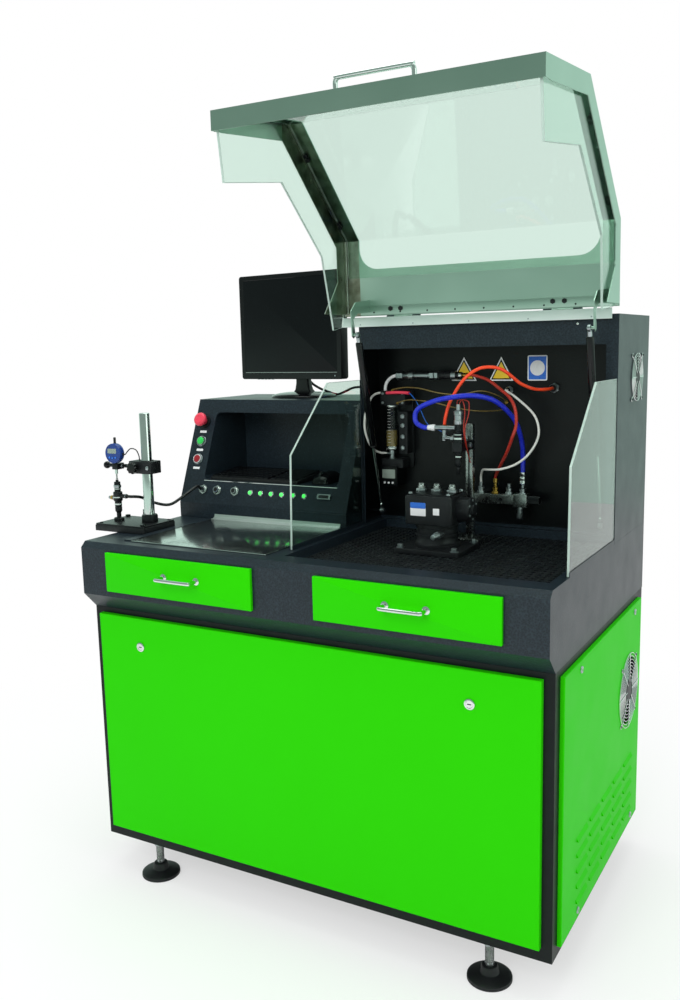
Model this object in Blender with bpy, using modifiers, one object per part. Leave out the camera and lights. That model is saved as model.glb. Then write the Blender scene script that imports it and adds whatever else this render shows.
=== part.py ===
"""Injector test bench: steel cabinet with a tip-up splash hood, console and gauge stand.

Lengths are metres. X runs right along the front, Y to the back, Z up from the floor.
The pieces are laid out from the cabinet's front right floor corner and moved together
at the end, so that the middle of the whole bench's footprint is the origin.
"""
import math

import bmesh
import bpy
from mathutils import Matrix, Vector

# cabinet
WIDTH = 1.220            # counter and base frame, left to right
GAP = 0.0003             # air between neighbouring pieces
SHEET = 0.0015           # panel sheet
COUNTER_SHEET = 0.002    # counter and housing sheet
LEFT = -WIDTH            # left face of the cabinet; the right face is x = 0
FRAME_FRONT = 0.040
FRAME_BACK = 0.800
FRAME_BOTTOM = 0.095
FRAME_TOP = 0.726
ANGLE_IRON = 0.030       # visible leg of the angle iron
FOOT_IN_X = 0.147        # feet, from the cabinet's sides
FOOT_IN_Y = 0.026        # feet, from the frame's front and back
LOCK_X = (-1.062, -0.176)
LOCK_Z = 0.639

# counter
COUNTER_TOP = 0.902
COUNTER_BACK = 0.805
SINK_X = (-0.650, -0.024)
SINK_Y = (0.070, 0.590)
SINK_FLOOR = 0.872
DRAWER_X = ((-1.132, -0.694), (-0.529, -0.094))
DRAWER_Z = (0.784, 0.883)
DRAWER_DEPTH = (0.390, 0.262)
HANDLE_X = ((-0.953, -0.843), (-0.358, -0.251))

# rear housing
HOUSING_LEFT = -0.672
HOUSING_FRONT = 0.492
HOUSING_TOP = 1.435
PARTITION_Y = 0.600
OPENING_X = (-0.662, -0.028)
OPENING_TOP = 1.367
UPPER_FAN = (0.680, 1.285)
LOWER_FAN = (0.628, 0.499)

# hood, closed, from its hinge line
HINGE_Y = 0.488
HINGE_Z = 1.447
HOOD_OPEN = 88.0         # degrees
HOOD_X = (-0.7120, -0.0005)
HOOD_OUTLINE = [(-0.435, -0.533), (-0.4505, -0.251), (-0.196, 0.006), (-0.0045, 0.006)]
HOOD_LIP = 0.0405
HOOD_BORDER = (0.050, 0.043)
HOOD_FLANGE = 0.041
HOOD_END = [(-0.0045, 0.0035), (-0.0100, 0.0035), (-0.0110, -0.030), (-0.0137, -0.103)]
SKIRT_INNER = [(-0.154, -0.122), (-0.314, -0.290), (-0.292, -0.516)]
SKIRT_REAR_RIGHT = [(0.002, -0.112)]
SKIRT_REAR_LEFT = [(-0.0105, -0.0245), (0.0218, -0.0342), (0.0278, -0.0788)]
STRIP_X = (-0.7145, -0.0140)
ACRYLIC = 0.005
STRUT_TOP = (0.405, 1.403)
STRUT_BOTTOM = (0.522, 0.938)
STRUT_X = (-0.628, -0.044)

# console
CONSOLE_X = (-1.220, -0.674)
CONSOLE_OUTLINE = [(0.400, 0.9023), (0.400, 0.945), (0.515, 1.232), (0.805, 1.232), (0.805, 0.9023)]
SHELF_X = (-1.150, -0.712)
SHELF_Z = (1.008, 1.196)
SHELF_BACK = 0.640
LAMP_X = [-0.983 + 0.0346 * step for step in range(6)]
BUTTON_X = -1.185
MONITOR_AT = (-0.955, 0.665)
MONITOR_TURN = -7.0      # degrees

# gauge stand and drive
COLUMN_AT = (-1.171, 0.210)
GAUGE_AT = (-1.262, 0.190)
DRIVE_AT = (-0.395, 0.360)

# the middle of the footprint in the layout above
MIDDLE_X = -0.6527
MIDDLE_Y = 0.3736

for old in list(bpy.data.objects):
    bpy.data.objects.remove(old, do_unlink=True)

parts = bpy.data.collections.new("injector_test_bench")
guides = bpy.data.collections.new("cutters_and_guides")
bpy.context.scene.collection.children.link(parts)
bpy.context.scene.collection.children.link(guides)

TURN = {
    "X": Matrix.Rotation(math.radians(90.0), 3, "Y"),
    "Y": Matrix.Rotation(math.radians(-90.0), 3, "X"),
    "Z": Matrix.Identity(3),
}
COLOURS = {
    "green": (0.02, 0.52, 0.0, 1.0),
    "grey": (0.035, 0.055, 0.07, 1.0),
    "black": (0.01, 0.01, 0.01, 1.0),
    "steel": (0.55, 0.57, 0.56, 1.0),
    "clear": (0.75, 0.85, 0.80, 1.0),
    "red": (0.60, 0.02, 0.02, 1.0),
    "orange": (0.75, 0.12, 0.02, 1.0),
    "blue": (0.02, 0.08, 0.55, 1.0),
    "white": (0.75, 0.75, 0.72, 1.0),
}


def finish(ob, helper):
    """Puts a new object with the pieces, or with the cutters and guides."""
    if helper:
        guides.objects.link(ob)
        ob.display_type = "WIRE"
        ob.hide_render = True
    else:
        parts.objects.link(ob)
    return ob


def from_bmesh(name, bm, helper):
    """Object of a finished bmesh, its faces turned outwards."""
    bmesh.ops.recalc_face_normals(bm, faces=bm.faces)
    if bm.calc_volume(signed=True) < 0.0:
        bmesh.ops.reverse_faces(bm, faces=bm.faces)
    mesh = bpy.data.meshes.new(name)
    bm.to_mesh(mesh)
    bm.free()
    return finish(bpy.data.objects.new(name, mesh), helper)


def cuboid(name, x, y, z, helper=False, soften=None, width=0.002):
    """Box between two values per axis; soften picks the corners whose edges are bevelled."""
    bm = bmesh.new()
    bmesh.ops.create_cube(bm, size=1.0)
    bmesh.ops.scale(bm, vec=(x[1] - x[0], y[1] - y[0], z[1] - z[0]), verts=bm.verts)
    if soften:
        edges = [edge for edge in bm.edges if all(soften(vert.co) for vert in edge.verts)]
        bmesh.ops.bevel(bm, geom=edges, offset=width, segments=2, profile=0.5, affect="EDGES")
    ob = from_bmesh(name, bm, helper)
    ob.location = ((x[0] + x[1]) / 2, (y[0] + y[1]) / 2, (z[0] + z[1]) / 2)
    return ob


def cylinder(name, centre, radius, span, axis="Z", helper=False, sides=24, tip=None):
    """Round bar along an axis between the two values of span; centre gives the other two."""
    bm = bmesh.new()
    end = radius if tip is None else tip
    bmesh.ops.create_cone(
        bm,
        cap_ends=True,
        segments=sides,
        radius1=radius,
        radius2=end,
        depth=span[1] - span[0],
    )
    bmesh.ops.rotate(bm, verts=bm.verts, cent=(0.0, 0.0, 0.0), matrix=TURN[axis])
    ob = from_bmesh(name, bm, helper)
    middle = (span[0] + span[1]) / 2
    if axis == "X":
        ob.location = (middle, centre[0], centre[1])
    elif axis == "Y":
        ob.location = (centre[0], middle, centre[1])
    else:
        ob.location = (centre[0], centre[1], middle)
    for face in ob.data.polygons:
        face.use_smooth = len(face.vertices) == 4
    return ob


def prism(name, outline, span, axis="X", helper=False):
    """Solid with a flat outline and running along an axis between the values of span.

    The outline is (y, z) for X, (x, z) for Y and (x, y) for Z.
    """
    curve = bpy.data.curves.new(name, "CURVE")
    curve.dimensions = "2D"
    curve.fill_mode = "BOTH"
    curve.extrude = (span[1] - span[0]) / 2
    spline = curve.splines.new("POLY")
    spline.points.add(len(outline) - 1)
    for point, (u, v) in zip(spline.points, outline):
        point.co = (u, v, 0.0, 1.0)
    spline.use_cyclic_u = True
    flat = finish(bpy.data.objects.new(name + "_outline", curve), True)
    mesh = bpy.data.meshes.new_from_object(flat)
    bpy.data.objects.remove(flat, do_unlink=True)
    bm = bmesh.new()
    bm.from_mesh(mesh)
    bpy.data.meshes.remove(mesh)
    bmesh.ops.remove_doubles(bm, verts=bm.verts, dist=0.00001)
    middle = (span[0] + span[1]) / 2
    for vert in bm.verts:
        u, v, w = vert.co
        if axis == "X":
            vert.co = (w + middle, u, v)
        elif axis == "Y":
            vert.co = (u, w + middle, v)
        else:
            vert.co = (u, v, w + middle)
    return from_bmesh(name, bm, helper)


def lathe(name, profile, centre, axis="Z", helper=False, steps=24, closed=False):
    """Turned piece: profile (radius, height) from top to bottom, spun by a Screw."""
    mesh = bpy.data.meshes.new(name)
    edges = [(index, index + 1) for index in range(len(profile) - 1)]
    if closed:
        edges.append((len(profile) - 1, 0))
    mesh.from_pydata([(radius, 0.0, height) for radius, height in profile], edges, [])
    ob = finish(bpy.data.objects.new(name, mesh), helper)
    screw = ob.modifiers.new("spin", "SCREW")
    screw.steps = steps
    screw.render_steps = steps
    screw.use_merge_vertices = True
    screw.merge_threshold = 0.00001
    screw.use_smooth_shade = True
    ob.rotation_euler = TURN[axis].to_euler()
    ob.location = centre
    return ob


def smooth_route(route, step):
    """Evenly spaced points on the smooth curve through the route points."""
    line = [Vector(point) for point in route]
    ends = [line[0] * 2 - line[1]] + line + [line[-1] * 2 - line[-2]]
    dense = []
    for index in range(1, len(ends) - 2):
        a, b, c, d = ends[index - 1 : index + 3]
        for part in range(24):
            t = part / 24
            cubic = (3 * b - a - 3 * c + d) * t**3
            square = (2 * a - 5 * b + 4 * c - d) * t**2
            dense.append((2 * b + (c - a) * t + square + cubic) / 2)
    dense.append(line[-1])
    length = sum((dense[i + 1] - dense[i]).length for i in range(len(dense) - 1))
    count = max(2, round(length / step))
    spaced = [dense[0]]
    walked = 0.0
    for index in range(len(dense) - 1):
        stretch = (dense[index + 1] - dense[index]).length
        while len(spaced) < count and walked + stretch >= length * len(spaced) / count:
            share = (length * len(spaced) / count - walked) / stretch
            spaced.append(dense[index].lerp(dense[index + 1], share))
        walked += stretch
    spaced.append(dense[-1])
    for end, inner, guide in ((0, 1, line[1]), (-1, -2, line[-2])):
        straight = (guide - spaced[end]).normalized()
        spaced[inner] = spaced[end] + straight * (spaced[inner] - spaced[end]).length
    return spaced


def tube(name, points, radius, helper=False, resolution=2):
    """Round bar or hose along the points, with flat ends."""
    curve = bpy.data.curves.new(name, "CURVE")
    curve.dimensions = "3D"
    curve.bevel_depth = radius
    curve.bevel_resolution = resolution
    curve.use_fill_caps = True
    spline = curve.splines.new("POLY")
    spline.points.add(len(points) - 1)
    for point, place in zip(spline.points, points):
        point.co = (place[0], place[1], place[2], 1.0)
    bar = finish(bpy.data.objects.new(name + "_line", curve), True)
    mesh = bpy.data.meshes.new_from_object(bar)
    bpy.data.objects.remove(bar, do_unlink=True)
    bm = bmesh.new()
    bm.from_mesh(mesh)
    bpy.data.meshes.remove(mesh)
    bmesh.ops.remove_doubles(bm, verts=bm.verts, dist=0.00001)
    ob = from_bmesh(name, bm, helper)
    for face in ob.data.polygons:
        face.use_smooth = len(face.vertices) == 4
    return ob


def combine(ob, other, operation):
    """Boolean of a helper onto a piece."""
    modifier = ob.modifiers.new(other.name, "BOOLEAN")
    modifier.operation = operation
    modifier.solver = "EXACT"
    modifier.object = other


def cut(ob, *others):
    for other in others:
        combine(ob, other, "DIFFERENCE")


def fuse(ob, *others):
    for other in others:
        combine(ob, other, "UNION")


def paint(ob, colour, roughness=0.5, metallic=0.0):
    """Own material for a piece."""
    material = bpy.data.materials.new(ob.name)
    material.use_nodes = True
    shader = material.node_tree.nodes["Principled BSDF"]
    shader.inputs["Base Color"].default_value = COLOURS[colour]
    shader.inputs["Roughness"].default_value = roughness
    shader.inputs["Metallic"].default_value = metallic
    ob.data.materials.clear()
    ob.data.materials.append(material)


def set_origin(ob, place):
    """Moves the origin of a piece to its joint's axis without moving the piece."""
    shift = Vector(place) - ob.location
    ob.data.transform(Matrix.Translation(-shift))
    ob.location = place


def offset_path(path, distance):
    """The open path moved sideways to its right by the distance, corners mitred."""
    moved = []
    for index, point in enumerate(path):
        before = path[max(index - 1, 0)]
        here = path[min(index + 1, len(path) - 1)]
        normals = []
        for a, b in ((before, point), (point, here)):
            length = math.hypot(b[0] - a[0], b[1] - a[1])
            if length > 0:
                normals.append(((b[1] - a[1]) / length, -(b[0] - a[0]) / length))
        if len(normals) == 1:
            normals = normals * 2
        (ax, ay), (bx, by) = normals
        scale = distance / (1 + ax * bx + ay * by)
        moved.append((point[0] + (ax + bx) * scale, point[1] + (ay + by) * scale))
    return moved


def along(path, start, end):
    """The part of a path between two distances from its first point."""
    kept = []
    walked = 0.0
    for a, b in zip(path, path[1:]):
        length = math.hypot(b[0] - a[0], b[1] - a[1])
        for mark in (start, end):
            if walked < mark <= walked + length:
                share = (mark - walked) / length
                kept.append((a[0] + (b[0] - a[0]) * share, a[1] + (b[1] - a[1]) * share))
        walked += length
        if start < walked < end:
            kept.append(b)
    return kept


def rounded(x, y, radius, corners=(True, True, True, True), steps=6):
    """Rectangle outline with some corners rounded: low-low, high-low, high-high, low-high."""
    points = []
    places = [(x[0], y[0], 180), (x[1], y[0], 270), (x[1], y[1], 0), (x[0], y[1], 90)]
    for (cx, cy, start), soft in zip(places, corners):
        if not soft:
            points.append((cx, cy))
            continue
        mx = cx + radius if cx == x[0] else cx - radius
        my = cy + radius if cy == y[0] else cy - radius
        for step in range(steps + 1):
            angle = math.radians(start + 90 * step / steps)
            points.append((mx + radius * math.cos(angle), my + radius * math.sin(angle)))
    return points


def base_frame():
    """Angle-iron frame with a sheet pan in the bottom."""
    low_x, high_x = LEFT + ANGLE_IRON, -ANGLE_IRON
    low_z, high_z = FRAME_BOTTOM + ANGLE_IRON, FRAME_TOP - 0.028
    ob = cuboid("base_frame", (LEFT, 0.0), (FRAME_FRONT, FRAME_BACK), (FRAME_BOTTOM, FRAME_TOP))
    inside = cuboid(
        "frame_inside",
        (LEFT + 0.003, -0.003),
        (FRAME_FRONT + 0.003, FRAME_BACK - 0.003),
        (FRAME_BOTTOM + 0.003, FRAME_TOP - 0.003),
        True,
    )
    front = cuboid("frame_front", (low_x, high_x), (0.03, 0.81), (low_z, high_z), True)
    side = cuboid("frame_side", (LEFT - 0.01, 0.01), (0.080, 0.745), (low_z + 0.001, high_z), True)
    top = cuboid("frame_top", (low_x, high_x), (0.072, 0.768), (0.715, 0.735), True)
    cut(ob, inside, front, side, top)
    for index, (x, y) in enumerate(foot_places()):
        cut(ob, cylinder(f"foot_hole_{index}", (x, y), 0.0104, (0.09, 0.10), "Z", True, 24))
    paint(ob, "black")


def foot_places():
    front = FRAME_FRONT + FOOT_IN_Y
    back = FRAME_BACK - FOOT_IN_Y
    left = LEFT + FOOT_IN_X
    return [(left, front), (-FOOT_IN_X, front), (left, back), (-FOOT_IN_X, back)]


def feet():
    """Levelling feet: a dished disc, its screw and the nut under the frame."""
    names = ("foot_front_left", "foot_front_right", "foot_back_left", "foot_back_right")
    profile = [(0.0, 0.1150), (0.0100, 0.1150), (0.0100, 0.0947), (0.0165, 0.0947)]
    profile += [(0.0165, 0.0840), (0.0100, 0.0840), (0.0100, 0.0330), (0.0180, 0.0300)]
    profile += [(0.0200, 0.0160), (0.0420, 0.0110), (0.0500, 0.0060), (0.0500, 0.0)]
    profile += [(0.0, 0.0)]
    for name, (x, y) in zip(names, foot_places()):
        ob = lathe(name, profile, (x, y, 0.0), steps=20)
        paint(ob, "black")


def front_panel():
    """Front cover: one folded tray over the whole front, with the two lock holes."""
    face = 0.025
    half = (FRAME_FRONT - GAP - face) / 2
    ob = cuboid(
        "front_panel",
        (LEFT + 0.024, -0.024),
        (face, FRAME_FRONT - GAP),
        (0.126, 0.712),
        soften=lambda co: co.y < -half + 1e-5,
    )
    inside = cuboid(
        "front_inside",
        (LEFT + 0.024 + SHEET, -0.024 - SHEET),
        (face + SHEET, 0.05),
        (0.126 + SHEET, 0.712 - SHEET),
        True,
    )
    cut(ob, inside)
    for index, x in enumerate(LOCK_X):
        cut(ob, cylinder(f"lock_hole_{index}", (x, LOCK_Z), 0.0098, (0.0, 0.05), "Y", True, 24))
    set_origin(ob, (-WIDTH / 2, FRAME_FRONT - GAP, 0.126))
    paint(ob, "green", 0.35)


def locks():
    """Quarter-turn locks; at rest the cam lies level, clear of the frame."""
    for name, x, way in (("lock_left", LOCK_X[0], 1), ("lock_right", LOCK_X[1], -1)):
        ob = cylinder(name, (x, LOCK_Z), 0.0120, (0.0215, 0.0247), "Y", sides=24)
        barrel = cylinder(name + "_barrel", (x, LOCK_Z), 0.0095, (0.0240, 0.0500), "Y", True, 24)
        reach = sorted((x - way * 0.009, x + way * 0.080))
        cam = cuboid(name + "_cam", reach, (0.0445, 0.0470), (LOCK_Z - 0.008, LOCK_Z + 0.008), True)
        slot = cuboid(name + "_slot", (x - 0.004, x + 0.004), (0.020, 0.0235), (0.638, 0.640), True)
        fuse(ob, barrel, cam)
        cut(ob, slot)
        set_origin(ob, (x, 0.0247, LOCK_Z))
        paint(ob, "steel", 0.25, 1.0)


def louvre_solids(name, side, base, hollow):
    """The 25 pressed louvres of one side panel as wedges, or the hollows below them."""
    if hollow:
        outline = [(0.0070, -0.0060), (0.0136, -0.0060), (0.0136, -0.0049), (0.0070, 0.0095)]
    else:
        outline = [(0.0090, -0.0045), (0.0145, -0.0045), (0.0090, 0.0075)]
    half = 0.039 if hollow else 0.040
    bm = bmesh.new()
    for column in range(5):
        for row in range(5):
            y = 0.215 + 0.105 * column
            z = 0.165 + 0.03625 * row
            ends = []
            for end in (y - half, y + half):
                points = [(base + side * (u - 0.0), end, z + v) for u, v in outline]
                ends.append([bm.verts.new(point) for point in points])
            bm.faces.new(ends[0])
            bm.faces.new(ends[1])
            count = len(outline)
            for index in range(count):
                after = (index + 1) % count
                bm.faces.new((ends[0][index], ends[0][after], ends[1][after], ends[1][index]))
    return from_bmesh(name, bm, True)


def side_panel(name, side, base, fan):
    """Side cover tray with pressed louvres and four screws; side is +1 to the right."""
    inner, outer = base + side * GAP, base + side * 0.010
    half = (0.010 - GAP) / 2
    ob = cuboid(
        name,
        sorted((inner, outer)),
        (0.072, 0.755),
        (0.118, 0.710),
        soften=lambda co: co.x * side > half - 1e-5,
    )
    pocket = sorted((base - side * 0.01, outer - side * SHEET))
    cut(ob, cuboid(name + "_inside", pocket, (0.0735, 0.7535), (0.1195, 0.7085), True))
    if fan:
        cut(ob, cylinder(name + "_fan", LOWER_FAN, 0.086, (-0.02, 0.02), "X", True, 32))
    fuse(ob, louvre_solids(name + "_louvres", side, base, False))
    cut(ob, louvre_solids(name + "_hollows", side, base, True))
    for index, (y, z) in enumerate(((0.19, 0.690), (0.68, 0.690), (0.19, 0.138), (0.68, 0.138))):
        span = sorted((outer - side * 0.0008, outer + side * 0.0025))
        fuse(ob, cylinder(f"{name}_screw_{index}", (y, z), 0.006, span, "X", True, 8))
    paint(ob, "green", 0.35)


def back_panel():
    """Rear cover: a folded tray with four screws."""
    ob = cuboid("back_panel", (-1.196, -0.024), (0.8003, 0.8050), (0.126, 0.712))
    cut(ob, cuboid("back_inside", (-1.1945, -0.0255), (0.79, 0.8035), (0.1275, 0.7105), True))
    for index, (x, z) in enumerate(((-1.18, 0.69), (-0.04, 0.69), (-1.18, 0.15), (-0.04, 0.15))):
        fuse(ob, cylinder(f"back_screw_{index}", (x, z), 0.006, (0.804, 0.807), "Y", True, 8))
    paint(ob, "green", 0.35)


def fan(name, centre, face, radius, bore):
    """Wire guard with the motor barrel, and the rotor that turns round the barrel."""
    y, z = centre
    hub = radius * 0.34
    guard = cylinder(f"fan_guard_{name}", centre, hub * 0.9, (face, face + 0.0025), "X", sides=20)
    barrel = cylinder(name + "_barrel", centre, hub * 0.72, (face - 0.030, face + 0.001), "X", True, 20)
    fuse(guard, barrel)
    wire = 0.0014
    for index in range(4):
        middle = face + 0.0015
        reach = radius * 0.99
        angle = math.radians(45 + 90 * index)
        points = []
        for distance in (hub * 0.7, reach):
            across = y + distance * math.cos(angle)
            points.append((middle, across, z + distance * math.sin(angle)))
        fuse(guard, tube(f"{name}_spoke_{index}", points, wire, True, 0))
    rings = 4 if radius > 0.08 else 3
    for index in range(rings):
        reach = hub + (radius - hub) * (index + 1) / rings
        profile = []
        for corner in range(4):
            angle = math.radians(45 - 90 * corner)
            profile.append((reach + wire * math.cos(angle), wire * math.sin(angle)))
        ring = lathe(f"{name}_ring_{index}", profile, (face + 0.0029, y, z), "X", True, 18, True)
        fuse(guard, ring)
    paint(guard, "steel", 0.25, 1.0)

    inner = hub * 0.72 + 0.0008
    back = face - 0.034
    rotor = cylinder(f"fan_rotor_{name}", centre, inner + 0.003, (back, face - 0.006), "X", sides=20)
    cut(rotor, cylinder(name + "_bore", centre, inner, (face - 0.0306, face), "X", True, 20))
    middle = (back + face - 0.006) / 2
    for index in range(7):
        blade = cuboid(name + f"_blade_{index}", (-0.0011, 0.0011), (-0.5, 0.5), (-0.5, 0.5), True)
        chord = radius * 0.30
        length = bore - 0.002 - inner - 0.001
        blade.data.transform(Matrix.Diagonal((1.0, chord, length, 1.0)))
        blade.data.transform(Matrix.Rotation(math.radians(58.0), 4, "Z"))
        blade.data.transform(Matrix.Translation((0.0, 0.0, inner + 0.001 + length / 2)))
        blade.rotation_euler = (math.radians(360 * index / 7), 0.0, 0.0)
        blade.location = (middle, y, z)
        fuse(rotor, blade)
    paint(rotor, "black")


def counter_body():
    """Folded counter with the drawer openings, the sink and the guards' channels."""
    t = COUNTER_SHEET
    outline = [(0.015, COUNTER_TOP), (0.0, 0.888), (0.0, 0.768), (0.040, FRAME_TOP + GAP)]
    outline += [(COUNTER_BACK, FRAME_TOP + GAP), (COUNTER_BACK, COUNTER_TOP)]
    inner = [(0.0158, COUNTER_TOP - t), (t, 0.8871), (t, 0.7689), (0.0408, FRAME_TOP + GAP + t)]
    inner += [(COUNTER_BACK - t, FRAME_TOP + GAP + t), (COUNTER_BACK - t, COUNTER_TOP - t)]
    ob = prism("counter_body", outline, (LEFT, 0.0))
    cut(ob, prism("counter_inside", inner, (LEFT + t, -t), "X", True))
    tray = cuboid(
        "sink_tray",
        (SINK_X[0] - t, SINK_X[1] + t),
        (SINK_Y[0] - t, SINK_Y[1] + t),
        (SINK_FLOOR - t, COUNTER_TOP - 0.001),
        True,
    )
    fuse(ob, tray)
    cut(ob, cuboid("sink_pocket", SINK_X, SINK_Y, (SINK_FLOOR, 0.92), True))
    cut(ob, cylinder("drive_hole", DRIVE_AT, 0.030, (0.86, 0.88), "Z", True))
    under = cuboid("under_hole", (-0.60, -0.10), (0.285, 0.70), (0.72, 0.735), True)
    cut(ob, under)
    for index, ((x0, x1), depth) in enumerate(zip(DRAWER_X, DRAWER_DEPTH)):
        hole = cuboid(f"drawer_hole_{index}", (x0 + 0.003, x1 - 0.003), (-0.01, 0.01), (0.7865, 0.8685), True)
        cut(ob, hole)
        for side, x in enumerate((x0 + 0.012, x1 - 0.014)):
            web = [(0.001, 0.7875), (0.001, 0.7700), (0.0415, 0.7275)]
            web += [(depth - 0.01, 0.7275), (depth - 0.01, 0.7875)]
            fuse(ob, prism(f"runner_{index}_{side}", web, (x, x + t), "X", True))
    rails = [((-0.6737, -0.6708), "outer_left"), ((-0.6652, -0.6642), "inner_left")]
    rails += [((-0.0078, -0.0068), "inner_right"), ((-0.0012, 0.0), "outer_right")]
    for x, name in rails:
        fuse(ob, cuboid("rail_" + name, x, (0.127, 0.4905), (0.9010, 0.9120), True))
    fuse(ob, cuboid("edge_strip", (-1.124, -1.101), (0.055, 0.316), (0.9010, 0.9052), True))
    paint(ob, "grey", 0.45)


def worktop_plate():
    ob = cuboid(
        "worktop_plate",
        (-1.0980, -0.6900),
        (0.050, 0.398),
        (COUNTER_TOP + GAP, 0.9050),
        soften=lambda co: co.z > 0,
        width=0.0012,
    )
    paint(ob, "steel", 0.3, 1.0)


def drain_mat():
    """Pierced mat: a grid with every other cell missing, thickened by a Solidify."""
    columns, rows = 17, 13
    x0, x1 = SINK_X[0] + 0.002, SINK_X[1] - 0.002
    y0, y1 = SINK_Y[0] + 0.002, SINK_Y[1] - 0.002
    bm = bmesh.new()
    grid = []
    for row in range(rows + 1):
        line = []
        for column in range(columns + 1):
            x = x0 + (x1 - x0) * column / columns
            y = y0 + (y1 - y0) * row / rows
            line.append(bm.verts.new((x, y, 0.0)))
        grid.append(line)
    for row in range(rows):
        for column in range(columns):
            x = x0 + (x1 - x0) * (column + 0.5) / columns
            y = y0 + (y1 - y0) * (row + 0.5) / rows
            away = math.hypot(x - DRIVE_AT[0], y - DRIVE_AT[1])
            if row % 2 and column % 2 and away > 0.065:
                continue
            corners = (grid[row][column], grid[row][column + 1])
            bm.faces.new(corners + (grid[row + 1][column + 1], grid[row + 1][column]))
    ob = from_bmesh("drain_mat", bm, False)
    ob.location.z = SINK_FLOOR + GAP
    if ob.data.polygons[0].normal.z < 0:
        ob.data.flip_normals()
    thick = ob.modifiers.new("thickness", "SOLIDIFY")
    thick.thickness = 0.008
    thick.offset = 1.0
    cut(ob, cylinder("mat_hole", DRIVE_AT, 0.034, (0.86, 0.89), "Z", True, 24))
    paint(ob, "black")


def drawers():
    """Sheet drawers: open box, front plate and bar handle in one."""
    for index, name in enumerate(("drawer_left", "drawer_right")):
        x0, x1 = DRAWER_X[index]
        depth = DRAWER_DEPTH[index]
        ob = cuboid(
            name,
            (x0, x1),
            (-0.010, -GAP),
            DRAWER_Z,
            soften=lambda co: co.y < -0.004,
            width=0.0015,
        )
        box = cuboid(name + "_box", (x0 + 0.006, x1 - 0.006), (-0.002, depth), (0.7880, 0.8660), True)
        room = cuboid(name + "_room", (x0 + 0.0075, x1 - 0.0075), (0.0, depth - SHEET), (0.7895, 0.90), True)
        fuse(ob, box)
        cut(ob, room)
        h0, h1 = HANDLE_X[index]
        z = 0.838
        route = [(h0 + 0.006, -0.009, z), (h0 + 0.006, -0.034, z), (h0 + 0.0075, -0.0385, z)]
        route += [(h0 + 0.012, -0.040, z), (h1 - 0.012, -0.040, z), (h1 - 0.0075, -0.0385, z)]
        route += [(h1 - 0.006, -0.034, z), (h1 - 0.006, -0.009, z)]
        fuse(ob, tube(name + "_handle", route, 0.0045, True, 2))
        paint(ob, "green", 0.35)


def rear_housing():
    """Folded housing behind the sink with its partition, hinge knuckles and strut studs."""
    t = COUNTER_SHEET
    x0, x1 = HOUSING_LEFT, 0.0
    bottom = COUNTER_TOP + GAP
    back = COUNTER_BACK
    ob = cuboid("rear_housing", (x0, x1), (HOUSING_FRONT, back), (bottom, HOUSING_TOP))
    chamber = cuboid(
        "chamber", (x0 + t, x1 - t), (HOUSING_FRONT + t, PARTITION_Y), (0.89, HOUSING_TOP - t), True
    )
    plenum = cuboid(
        "plenum", (x0 + t, x1 - t), (PARTITION_Y + t, back - t), (bottom + t, HOUSING_TOP - t), True
    )
    mouth = rounded(OPENING_X, (0.89, OPENING_TOP), 0.003, (False, False, True, True))
    cut(ob, chamber, plenum, prism("mouth", mouth, (0.48, 0.51), "Y", True))
    cut(ob, cuboid("plenum_hole", (-0.45, -0.20), (0.64, 0.76), (0.89, 0.91), True))
    cut(ob, cylinder("housing_fan", UPPER_FAN, 0.052, (-0.01, 0.01), "X", True))
    for side, wall in ((1, x1), (-1, x0)):
        span = sorted((wall - side * 0.001, wall - side * 0.0390))
        stud = cylinder(f"strut_stud_{side + 1}", STRUT_BOTTOM, 0.004, span, "X", True, 16)
        fuse(ob, stud)
    for index, x in enumerate((-0.540, -0.130)):
        for side in (-1, 1):
            middle = x + side * 0.036
            span = (middle - 0.010, middle + 0.010)
            fuse(ob, cylinder(f"knuckle_{index}_{side + 1}", (HINGE_Y, HINGE_Z), 0.005, span, "X", True, 12))
            leaf = cuboid(f"leaf_{index}_{side + 1}", span, (0.4885, 0.4940), (1.4340, HINGE_Z), True)
            fuse(ob, leaf)
        span = (x - 0.040, x + 0.040)
        fuse(ob, cylinder(f"hinge_pin_{index}", (HINGE_Y, HINGE_Z), 0.0020, span, "X", True, 8))
    fuse(ob, cuboid("strip", STRIP_X, (0.4795, 0.4810), (1.4245, HINGE_Z + 0.001), True))
    fuse(ob, cuboid("strip_web", (x0 + 0.004, -0.0160), (0.4800, 0.4930), (1.4245, 1.4260), True))
    for index, (x, z, radius) in enumerate(((-0.180, 1.262, 0.009), (-0.296, 1.257, 0.007))):
        fuse(ob, cylinder(f"wall_fitting_{index}", (x, z), radius, (0.578, 0.601), "Y", True, 16))
    for side, x in enumerate(((-0.6652, -0.6642), (-0.0078, -0.0068))):
        fuse(ob, cuboid(f"guard_rail_{side}", x, (0.478, 0.4925), (0.9125, 1.288), True))
    paint(ob, "grey", 0.45)


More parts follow.
